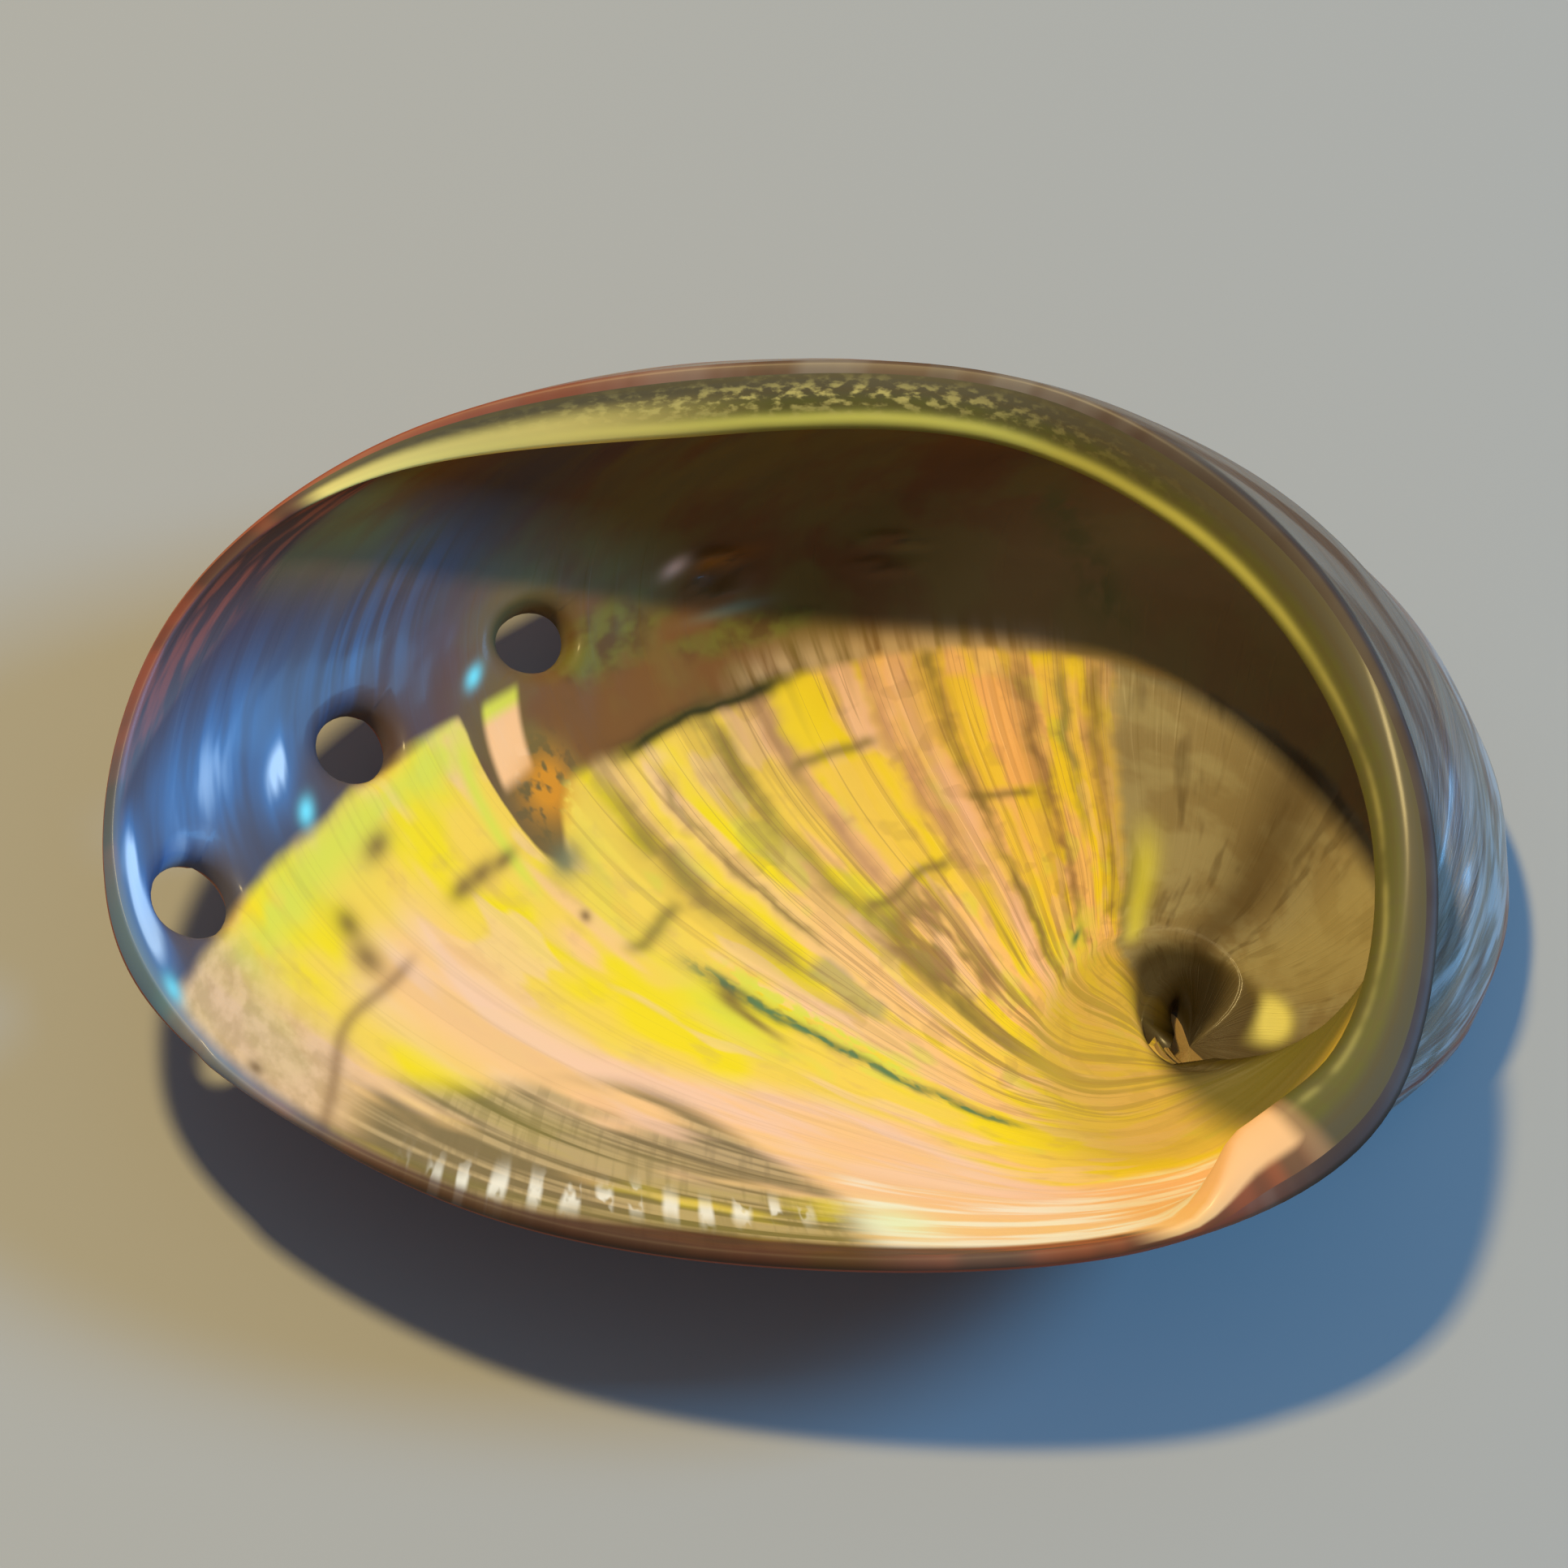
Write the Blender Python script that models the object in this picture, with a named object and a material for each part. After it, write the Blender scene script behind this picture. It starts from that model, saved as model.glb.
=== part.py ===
"""A small red-type abalone shell, lying on its round back with the hollow up.

The shell grew as a flat spiral that opens fast. Every older lip is a smaller, turned copy of the
present lip about one apex, so one growth rule places the whole wall, the spire and the holes.
"""

import math

import bmesh
import bpy
import numpy as np
from mathutils import Euler, Vector

MM = 0.001

# The lip seen from the hollow side, in mm: +X towards the spire, +Y towards the columellar shelf.
LIP_OUTLINE = [
    (-35.0, -2.4), (-31.7, 10.9), (-21.0, 20.3), (-5.0, 24.3),
    (12.0, 23.0), (24.6, 13.4), (30.4, -1.0), (28.0, -16.4),
    (17.0, -23.6), (0.0, -24.9), (-16.5, -21.9), (-30.0, -13.7),
]

# The spiral, in mm and radians: where it closes, how fast it shrinks, and how it domes and tips.
APEX = (19.2, -6.2)
APEX_DEPTH = 11.5
SHRINK_RATE = 0.485
DOME = 26.0
DOME_FADE = 1.5
TIP = (-0.52, -0.83)
LAST_TURN = 5.2

# The wall, in mm: its body, which thickens back from the sharp lip and thins in the young spire.
WALL = 1.15
LIP_EDGE = 0.85
LIP_ROUND = 0.30
THICKENING_TURN = 0.25
THINNEST_SHARE = 0.35
THINNING = 2.4

# The flat shelf along the columella, in mm, with a heel at its end; it lies nearly level.
SHELF_WIDTH = 3.2
SHELF_NARROWING = 0.7
SHELF_NARROWS = (0.28, 0.48)
SHELF_HEEL = 1.7
SHELF_TURN = 0.11
SHELF_START = (0.12, 0.26)
SHELF_END = (0.59, 0.68)
HEEL_PLACE = 0.58
HEEL_SPREAD = 0.045
SHELF_SLOPE = 0.45

# The row of breathing holes: its place round the lip and, in radians of growth, its spacing.
HOLE_ROW = 0.954
FIRST_HOLE_TURN = 0.095
HOLE_SPACING = 0.250
OPEN_HOLES = 3
HEALED_HOLES = 6
HOLE_LENGTH = 4.9
HOLE_WIDTH = 4.2
MOUND_HEIGHT = 0.9
MOUND_SPREAD = 3.4

# The bore of a hole from outside in: height over the middle of the wall, in mm, and flare.
HOLE_BORE = ((3.0, 1.25), (0.7, 1.0), (-0.3, 1.0), (-0.8, 1.2), (-3.0, 1.5))

# The outside, in mm: a keel along the holes with a groove beside it, low spiral folds, and swells
# left by slow growth, which begin a little way back from the lip.
KEEL_HEIGHT = 0.5
KEEL_SPREAD = 0.03
GROOVE_SHARE = 0.6
GROOVE_OFFSET = 0.07
FOLD_HEIGHT = 0.16
FOLD_COUNT = 9
SWELL_HEIGHT = 0.22
SWELL_SPACING = 0.48
RELIEF_TURN = 0.15

# The two finishes of the plain body: colour, then roughness.
OUTER_FINISH = ((0.20, 0.13, 0.09), 0.45)
NACRE_FINISH = ((0.80, 0.62, 0.34), 0.25)

# How finely the faceted body follows the growth rule.
LIP_POINTS = 54
FIRST_STEP = 0.062
STEP_GROWTH = 1.036
LIP_ROWS = 3
HOLE_SIDES = 20
TINY = 1e-4

# The angles, in degrees, at which the loose shell settles on its back.
REST_TILT_X = 7.165
REST_TILT_Y = -2.808


def smooth_step(value, low, high):
    part = np.clip((value - low) / (high - low), 0.0, 1.0)
    return part * part * (3.0 - 2.0 * part)


def bell(value, middle, spread):
    return np.exp(-(((value - middle) / spread) ** 2))


def lip_point(share):
    """A point of the present lip, a share of the way round it, on a smooth curve through its outline."""
    outline = np.array(LIP_OUTLINE)
    place = np.mod(share, 1.0) * len(outline)
    first = np.floor(place).astype(int)
    part = (place - first)[..., None]
    before, start, end, after = (outline[(first + step) % len(outline)] for step in (-1, 0, 1, 2))
    straight = 2.0 * start + (end - before) * part
    bent = (2.0 * before - 5.0 * start + 4.0 * end - after) * part**2
    twisted = (3.0 * start - before - 3.0 * end + after) * part**3
    return 0.5 * (straight + bent + twisted)


def growth_point(turn, share):
    """The outer wall as it grew: the lip, shrunk and turned back about the apex, and deeper."""
    size = np.exp(-SHRINK_RATE * turn)
    lip = lip_point(share)
    arm = lip - APEX
    x = size * (np.cos(turn) * arm[..., 0] + np.sin(turn) * arm[..., 1])
    y = size * (np.cos(turn) * arm[..., 1] - np.sin(turn) * arm[..., 0])
    dome = DOME + TIP[0] * lip[..., 0] + TIP[1] * lip[..., 1]
    z = -(1.0 - size) * (APEX_DEPTH + dome * size**DOME_FADE)
    return np.stack([x + APEX[0], y + APEX[1], z], axis=-1)


def unit(vectors):
    return vectors / np.linalg.norm(vectors, axis=-1, keepdims=True)


def growth_direction(turn, share):
    """The way back along the spiral, into the shell."""
    return unit(growth_point(turn + TINY, share) - growth_point(turn - TINY, share))


def outward(turn, share):
    """The direction out of the wall."""
    along_lip = growth_point(turn, share + TINY) - growth_point(turn, share - TINY)
    return unit(np.cross(along_lip, growth_direction(turn, share)))


def shelf_band(share):
    """How much of the columellar shelf there is at a place round the lip, from 0 to 1."""
    return smooth_step(share, *SHELF_START) * (1.0 - smooth_step(share, *SHELF_END))


def wall_thickness(turn, share):
    """The wall, the shelf with it, from the outside to the nacre."""
    size = np.exp(-SHRINK_RATE * turn)
    body = LIP_EDGE + (WALL - LIP_EDGE) * (1.0 - np.exp(-turn / THICKENING_TURN))
    shelf = SHELF_WIDTH - LIP_EDGE - SHELF_NARROWING * smooth_step(share, *SHELF_NARROWS)
    shelf = shelf + SHELF_HEEL * bell(share, HEEL_PLACE, HEEL_SPREAD)
    young = np.minimum(1.0, THINNEST_SHARE + THINNING * size)
    return (body + shelf * shelf_band(share) * bell(turn, 0.0, SHELF_TURN)) * young


def outer_relief(turn, share):
    """How far the outside stands out from the plain growth rule."""
    size = np.exp(-SHRINK_RATE * turn)
    share = np.mod(share, 1.0)
    groove = GROOVE_SHARE * bell(share, HOLE_ROW - GROOVE_OFFSET, KEEL_SPREAD)
    keel = KEEL_HEIGHT * (bell(share, HOLE_ROW, KEEL_SPREAD) - groove)
    folds = FOLD_HEIGHT * np.cos(2.0 * math.pi * FOLD_COUNT * share)
    swells = SWELL_HEIGHT * np.cos(2.0 * math.pi * turn / SWELL_SPACING)
    relief = keel + (folds + swells) * (1.0 - shelf_band(share)) * smooth_step(turn, 0.0, RELIEF_TURN)
    for number in range(OPEN_HOLES + HEALED_HOLES):
        hole_turn = FIRST_HOLE_TURN + number * HOLE_SPACING
        middle = growth_point(np.array(hole_turn), np.array(HOLE_ROW))
        distance = np.linalg.norm(growth_point(turn, share) - middle, axis=-1)
        hole_size = math.exp(-SHRINK_RATE * hole_turn)
        relief = relief + MOUND_HEIGHT * bell(distance / hole_size, 0.0, MOUND_SPREAD)
    return relief * size


def wall_point(turn, share, depth_share):
    """A point in the wall: 0 on the outside, 1 on the nacre, and between them across the lip."""
    direction = outward(turn, share)
    level = direction * [1.0, 1.0, SHELF_SLOPE]
    shelf = shelf_band(share)[..., None]
    inward = -unit(direction + (level - direction) * shelf)
    thickness = wall_thickness(turn, share)
    relief = outer_relief(turn, share) * (1.0 - depth_share)
    outside = growth_point(turn, share) + direction * relief[..., None]
    return outside + inward * (thickness * depth_share)[..., None]


def lip_row(number):
    """One row of points over the rounded edge of the lip, from the outside to the nacre."""
    share = np.arange(LIP_POINTS) / LIP_POINTS
    turn = np.zeros(LIP_POINTS)
    across = np.full(LIP_POINTS, number / (LIP_ROWS + 1.0))
    height = LIP_ROUND * np.sqrt(np.sin(math.pi * across))
    return wall_point(turn, share, across) - growth_direction(turn, share) * height[:, None]


def growth_turns():
    """The angles of the rows of points, closer together near the lip."""
    turns = [0.0]
    step = FIRST_STEP
    while turns[-1] < LAST_TURN:
        turns.append(turns[-1] + step)
        step *= STEP_GROWTH
    return turns


def shell_rows():
    """All rows of points, from the apex up the outside, over the lip and down the nacre."""
    share = np.arange(LIP_POINTS) / LIP_POINTS
    outer_face = np.zeros(LIP_POINTS)
    nacre_face = np.ones(LIP_POINTS)
    turns = [np.full(LIP_POINTS, turn) for turn in growth_turns()]
    outside = [wall_point(turn, share, outer_face) for turn in reversed(turns)]
    lip = [lip_row(number + 1) for number in range(LIP_ROWS)]
    inside = [wall_point(turn, share, nacre_face) for turn in turns]
    return outside, lip, inside


def plain_material(name, colour, roughness):
    """One of the two plain finishes, neither of them metal."""
    material = bpy.data.materials.new(name)
    material.use_nodes = True
    shader = material.node_tree.nodes["Principled BSDF"]
    shader.inputs["Base Color"].default_value = (*colour, 1.0)
    shader.inputs["Roughness"].default_value = roughness
    shader.inputs["Metallic"].default_value = 0.0
    return material


def make_shell():
    """The whole shell as one closed body, with its outside and its nacre as two materials."""
    outside, lip, inside = shell_rows()
    body = bmesh.new()
    rings = [[body.verts.new(Vector(point) * MM) for point in row] for row in outside + lip + inside]
    first_nacre_row = len(outside) + len(lip) // 2
    for number, (ring, following) in enumerate(zip(rings, rings[1:])):
        for place in range(LIP_POINTS):
            after = (place + 1) % LIP_POINTS
            face = body.faces.new([ring[place], ring[after], following[after], following[place]])
            face.material_index = int(number >= first_nacre_row)
    for ring in (rings[0], rings[-1]):
        middle = body.verts.new(sum((vertex.co for vertex in ring), Vector()) / LIP_POINTS)
        for place in range(LIP_POINTS):
            face = body.faces.new([ring[place], ring[(place + 1) % LIP_POINTS], middle])
            face.material_index = int(ring is rings[-1])
    bmesh.ops.recalc_face_normals(body, faces=body.faces)
    bmesh.ops.triangulate(body, faces=body.faces)
    mesh = bpy.data.meshes.new("shell")
    body.to_mesh(mesh)
    body.free()
    mesh.shade_smooth()
    mesh.materials.append(plain_material("outer shell", *OUTER_FINISH))
    mesh.materials.append(plain_material("nacre", *NACRE_FINISH))
    shell = bpy.data.objects.new("shell", mesh)
    bpy.context.scene.collection.objects.link(shell)
    return shell


def make_hole_cutter(number):
    """The waisted oval bore of one breathing hole, square to the wall."""
    turn = np.array(FIRST_HOLE_TURN + number * HOLE_SPACING)
    share = np.array(HOLE_ROW)
    size = math.exp(-SHRINK_RATE * float(turn))
    out = Vector(outward(turn, share))
    along = Vector(growth_direction(turn, share))
    across = out.cross(along)
    middle = Vector(wall_point(turn, share, np.array(0.5))) * MM
    body = bmesh.new()
    rings = []
    for height, flare in HOLE_BORE:
        ring = []
        for side in range(HOLE_SIDES):
            angle = 2.0 * math.pi * side / HOLE_SIDES
            length = along * math.cos(angle) * HOLE_LENGTH / 2.0
            width = across * math.sin(angle) * HOLE_WIDTH / 2.0
            ring.append(body.verts.new(middle + ((length + width) * flare * size + out * height) * MM))
        rings.append(ring)
    for ring, following in zip(rings, rings[1:]):
        for side in range(HOLE_SIDES):
            after = (side + 1) % HOLE_SIDES
            body.faces.new([ring[side], ring[after], following[after], following[side]])
    body.faces.new(rings[0])
    body.faces.new(rings[-1])
    bmesh.ops.recalc_face_normals(body, faces=body.faces)
    mesh = bpy.data.meshes.new(f"hole cutter {number + 1}")
    body.to_mesh(mesh)
    body.free()
    cutter = bpy.data.objects.new(mesh.name, mesh)
    cutter.hide_render = True
    cutter.display_type = "WIRE"
    bpy.context.scene.collection.objects.link(cutter)
    return cutter


def cut_holes(shell):
    """Bores the open breathing holes, each with its own live cutter that moves with the shell."""
    for number in range(OPEN_HOLES):
        cutter = make_hole_cutter(number)
        cutter.parent = shell
        cut = shell.modifiers.new(f"breathing hole {number + 1}", "BOOLEAN")
        cut.operation = "DIFFERENCE"
        cut.solver = "EXACT"
        cut.object = cutter


def settle(shell):
    """Tips the shell to its resting angle, with its lowest point on the ground and centred over it."""
    tilt = Euler((math.radians(REST_TILT_X), math.radians(REST_TILT_Y), 0.0))
    turned = [tilt.to_matrix() @ vertex.co for vertex in shell.data.vertices]
    low = Vector([min(point[axis] for point in turned) for axis in range(3)])
    high = Vector([max(point[axis] for point in turned) for axis in range(3)])
    middle = (low + high) / 2.0
    shell.rotation_euler = tilt
    shell.location = (-middle.x, -middle.y, -low.z)


for leftover in list(bpy.data.objects):
    bpy.data.objects.remove(leftover)
abalone = make_shell()
cut_holes(abalone)
settle(abalone)
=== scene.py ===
import math

import bpy
import numpy as np
from mathutils import Euler, Matrix, Vector


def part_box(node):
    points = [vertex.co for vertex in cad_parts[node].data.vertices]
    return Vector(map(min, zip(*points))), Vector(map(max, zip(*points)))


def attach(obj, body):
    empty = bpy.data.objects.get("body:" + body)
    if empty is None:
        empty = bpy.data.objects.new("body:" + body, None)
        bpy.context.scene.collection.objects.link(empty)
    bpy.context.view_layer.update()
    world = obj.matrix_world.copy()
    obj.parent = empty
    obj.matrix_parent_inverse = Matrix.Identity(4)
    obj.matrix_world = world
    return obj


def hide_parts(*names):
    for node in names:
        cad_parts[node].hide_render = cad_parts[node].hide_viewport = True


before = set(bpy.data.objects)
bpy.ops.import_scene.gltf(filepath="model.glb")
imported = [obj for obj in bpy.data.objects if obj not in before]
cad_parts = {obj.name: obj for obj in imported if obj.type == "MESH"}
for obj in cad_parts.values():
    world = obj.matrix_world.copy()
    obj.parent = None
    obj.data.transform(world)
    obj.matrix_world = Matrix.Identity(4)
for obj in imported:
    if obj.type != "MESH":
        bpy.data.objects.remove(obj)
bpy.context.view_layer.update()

# The lip: the growing edge of the shell, an egg-shaped outline that lay flat on the rock. It is the
# one curve that the animal kept repeating, larger each time, so the whole shell is grown from it.
# It is laid down here as a ring of points, in mm, with the front end at -X and the shelf at +Y.

MM = 0.001
LIP_OUTLINE = [
    (-35.0, -2.4), (-31.7, 10.9), (-21.0, 20.3), (-5.0, 24.3),
    (12.0, 23.0), (24.6, 13.4), (30.4, -1.0), (28.0, -16.4),
    (17.0, -23.6), (0.0, -24.9), (-16.5, -21.9), (-30.0, -13.7),
]
LIP_RING_POINTS = 960


def lip_point(share):
    """A point of the lip, a share of the way round it, on a smooth curve through its outline."""
    place = (share % 1.0) * len(LIP_OUTLINE)
    first = math.floor(place)
    part = place - first
    before, start, end, after = (
        Vector(LIP_OUTLINE[(first + step) % len(LIP_OUTLINE)]) for step in (-1, 0, 1, 2)
    )
    straight = 2.0 * start + (end - before) * part
    bent = (2.0 * before - 5.0 * start + 4.0 * end - after) * part**2
    twisted = (3.0 * start - before - 3.0 * end + after) * part**3
    return 0.5 * (straight + bent + twisted)


lip_places = [lip_point(number / LIP_RING_POINTS).to_3d() for number in range(LIP_RING_POINTS)]
lip_mesh = bpy.data.meshes.new("lip ring")
lip_mesh.from_pydata(lip_places, [], [])
lip_ring = bpy.data.objects.new("lip ring", lip_mesh)

# The shell wall: aragonite, laid down a thin layer at a time at the lip and as nacre on the inside.
# Each older lip is a smaller, turned and tipped copy of the present one about the apex. The nodes
# grow that wall, its shelf, its row of breathing holes and its relief from the ring above.

SIZES = {
    "Apex X": 19.2,
    "Apex Y": -6.2,
    "Apex Depth": 11.5,
    "Shrink Rate": 0.485,
    "Dome": 26.0,
    "Tip X": -0.52,
    "Tip Y": -0.83,
    "Wall": 1.15,
    "Lip Edge": 0.85,
    "Lip Round": 0.30,
    "Shelf Width": 3.2,
    "Shelf Narrowing": 0.2,
    "Shelf Heel": 1.6,
    "Shelf Drop": 0.9,
    "Shelf Turn": 0.11,
    "Hole Row": 0.954,
    "Hole Spacing": 0.25,
    "Hole Length": 4.9,
    "Hole Width": 4.2,
    "Mound Height": 0.9,
    "Keel Height": 0.5,
    "Fold Height": 0.16,
    "Swell Height": 0.22,
    "Nacre Ripple": 0.16,
}
DOME_FADE = 1.5
THICKENING = 4.0
THINNEST_SHARE = 0.35
THINNING = 2.4
SHELF_START = (0.11, 0.25)
SHELF_END = (0.63, 0.662)
SHELF_NARROWS = (0.28, 0.48)
SHELF_SLOPE = 0.45
SHELF_ROLL = 2.2
HEEL_PLACE = 0.612
HEEL_SPREAD = 0.055
KEEL_SPREAD = 0.03
GROOVE_SHARE = 0.6
GROOVE_OFFSET = 0.07
FOLD_COUNT = 9
SWELL_SPACING = 0.48
RELIEF_TURN = 0.15
MOUND_SPREAD = 3.4
PLUG_SPREAD = 1.3
PLUG_DEPTH = 0.8
SCAR_HEIGHT = 0.35
LINE_HEIGHT = 0.22
HOLE_EDGE_OUTSIDE = 0.5
HOLE_EDGE_NACRE = 1.5
PIT_TURN = 2.2
PIT_SIDE = (0.46, 0.13)
WELD = 0.0004
OPEN_HOLES = 3
HEALED_HOLES = 6
ROWS_TO_A_HOLE = 29
FIRST_HOLE = 11 / ROWS_TO_A_HOLE  # in hole spacings back from the lip
OUTER_ROWS = 176
NACRE_ROWS = 164
CLOSING_ROWS = 7
EVEN_ROWS = 78
LATE_ROW_GROWTH = 0.00045
LIP_ROWS = 13
ROUND_POINTS = 232
HOLE_ROWS = 5
HOLE_COLUMNS = 7
HOLE_REACH = 2.4
HOLE_EDGE_MEETS = 0.3
CROWDING = 0.45
TINY = 0.004
TURN = 2.0 * math.pi


class Wiring:
    """Short names for the maths nodes of one node tree, so that a rule reads like a formula."""

    def __init__(self, tree):
        self.tree = tree

    def node(self, kind, inputs=(), **settings):
        made = self.tree.nodes.new(kind)
        for name, value in settings.items():
            setattr(made, name, value)
        for place, value in inputs.items() if isinstance(inputs, dict) else enumerate(inputs):
            if isinstance(value, bpy.types.NodeSocket):
                self.tree.links.new(value, made.inputs[place])
            elif value is not None:
                made.inputs[place].default_value = value
        return made

    def math(self, operation, *values):
        return self.node("ShaderNodeMath", values, operation=operation).outputs[0]

    def add(self, first, *others):
        for other in others:
            first = self.math("ADD", first, other)
        return first

    def times(self, first, *others):
        for other in others:
            first = self.math("MULTIPLY", first, other)
        return first

    def less(self, first, second):
        return self.math("SUBTRACT", first, second)

    def over(self, first, second):
        return self.math("DIVIDE", first, second)

    def most(self, first, *others):
        for other in others:
            first = self.math("MAXIMUM", first, other)
        return first

    def least(self, first, second):
        return self.math("MINIMUM", first, second)

    def rest(self, part):
        return self.less(1.0, part)

    def bell(self, value, middle, spread):
        """A soft hill: 1 in the middle and nearly 0 from two spreads away."""
        if isinstance(middle, float) and isinstance(spread, float):
            part = self.math("MULTIPLY_ADD", value, 1.0 / spread, -middle / spread)
        else:
            part = self.over(self.less(value, middle), spread)
        return self.math("EXPONENT", self.times(part, part, -1.0))

    def step(self, value, low, high):
        """A soft rise from 0 at low to 1 at high, or a fall where low is the larger. It needs no clamp."""
        made = self.node(
            "ShaderNodeMapRange",
            {"Value": value, "From Min": low, "From Max": high},
            interpolation_type="SMOOTHSTEP",
            clamp=False,
        )
        return made.outputs["Result"]

    def between(self, value, low, high, soft):
        rise = self.step(value, low - soft, low + soft)
        return self.times(rise, self.step(value, high + soft, high - soft))

    def mix(self, part, first, second):
        return self.math("MULTIPLY_ADD", part, self.less(second, first), first)

    def blend(self, part, first, second):
        made = self.node("ShaderNodeMix", {0: part, 6: first, 7: second}, data_type="RGBA")
        return made.outputs[2]

    def cover(self, colour, part, amount, paint_colour):
        """Lays a paint over one part of a colour, as strongly as the amount says."""
        return self.blend(self.times(part, amount), colour, paint_colour)

    def vector(self, *parts):
        return self.node("ShaderNodeCombineXYZ", parts).outputs[0]

    def parts(self, vector):
        return self.node("ShaderNodeSeparateXYZ", [vector]).outputs

    def joined(self, first, second):
        return self.node("ShaderNodeVectorMath", (first, second), operation="ADD").outputs[0]

    def gap(self, first, second):
        return self.node("ShaderNodeVectorMath", (first, second), operation="SUBTRACT").outputs[0]

    def unit(self, vector):
        return self.node("ShaderNodeVectorMath", [vector], operation="NORMALIZE").outputs[0]

    def scaled(self, vector, amount):
        made = self.node("ShaderNodeVectorMath", {0: vector, "Scale": amount}, operation="SCALE")
        return made.outputs[0]

    def on_tube(self, turn, share):
        """A point of a round tube, as far along it as the turn and as far round it as the share."""
        angle = self.times(share, TURN)
        return self.vector(self.math("COSINE", angle), self.math("SINE", angle), turn)

    def grain(self, tube, along_lip, along_turn, seed=0.0, detail=2.0, roughness=0.5):
        """Noise that follows the growth of the shell, with no seam where the lip closes."""
        stretched = (tube, (along_lip, along_lip, along_turn), (0.0, 0.0, seed))
        place = self.node("ShaderNodeVectorMath", stretched, operation="MULTIPLY_ADD").outputs[0]
        inputs = {"Vector": place, "Scale": 1.0, "Detail": detail, "Roughness": roughness}
        return self.node("ShaderNodeTexNoise", inputs).outputs[0]


def new_tree(name, kind, inputs, outputs):
    """An empty node group with its sockets, its wiring and its input and output nodes."""
    tree = bpy.data.node_groups.new(name, kind)
    for in_out, sockets in (("INPUT", inputs), ("OUTPUT", outputs)):
        for title, value in sockets.items():
            socket_type, default = value if isinstance(value, tuple) else ("NodeSocketFloat", value)
            socket = tree.interface.new_socket(title, in_out=in_out, socket_type=socket_type)
            if default is not None:
                socket.default_value = default
    given = tree.nodes.new("NodeGroupInput").outputs
    result = tree.nodes.new("NodeGroupOutput").inputs
    return tree, Wiring(tree), given, result


GEOMETRY = ("NodeSocketGeometry", None)
VECTOR = ("NodeSocketVector", None)
SPIRAL_SIZES = ("Apex X", "Apex Y", "Apex Depth", "Shrink Rate", "Dome", "Tip X", "Tip Y")


def make_growth_rule():
    """The group that turns an age and a place round the lip into a point of the outer wall."""
    inputs = {"Lip": GEOMETRY, "Turn": 0.0, "Share": 0.0, "Girth": 1.0}
    inputs.update({name: SIZES[name] for name in SPIRAL_SIZES})
    tree, w, given, result = new_tree("growth rule", "GeometryNodeTree", inputs, {"Point": VECTOR})
    turn = given["Turn"]
    along = w.times(w.math("FRACT", w.add(given["Share"], 1.0)), float(LIP_RING_POINTS))
    first = w.math("FLOOR", along)
    position = w.node("GeometryNodeInputPosition").outputs[0]
    ends = []
    for ahead in (0.0, 1.0):
        number = w.math("FLOORED_MODULO", w.add(first, ahead), float(LIP_RING_POINTS))
        sample = w.node(
            "GeometryNodeSampleIndex",
            {"Geometry": given["Lip"]},
            data_type="FLOAT_VECTOR",
            domain="POINT",
        )
        tree.links.new(position, sample.inputs["Value"])
        tree.links.new(number, sample.inputs["Index"])
        ends.append(sample.outputs["Value"])
    between = w.scaled(w.gap(ends[1], ends[0]), w.less(along, first))
    lip_x, lip_y, _ = w.parts(w.scaled(w.joined(ends[0], between), given["Girth"]))
    size = w.math("EXPONENT", w.times(turn, given["Shrink Rate"], -1.0))
    arm_x = w.times(w.less(lip_x, given["Apex X"]), size)
    arm_y = w.times(w.less(lip_y, given["Apex Y"]), size)
    cosine = w.math("COSINE", turn)
    sine = w.math("SINE", turn)
    x = w.add(w.times(arm_x, cosine), w.times(arm_y, sine), given["Apex X"])
    y = w.add(w.less(w.times(arm_y, cosine), w.times(arm_x, sine)), given["Apex Y"])
    dome = w.add(given["Dome"], w.times(lip_x, given["Tip X"]), w.times(lip_y, given["Tip Y"]))
    reach = w.add(given["Apex Depth"], w.times(dome, w.math("POWER", size, DOME_FADE)))
    z = w.times(w.less(size, 1.0), reach)
    tree.links.new(w.vector(x, y, z), result["Point"])
    return tree


growth_rule = make_growth_rule()


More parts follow.
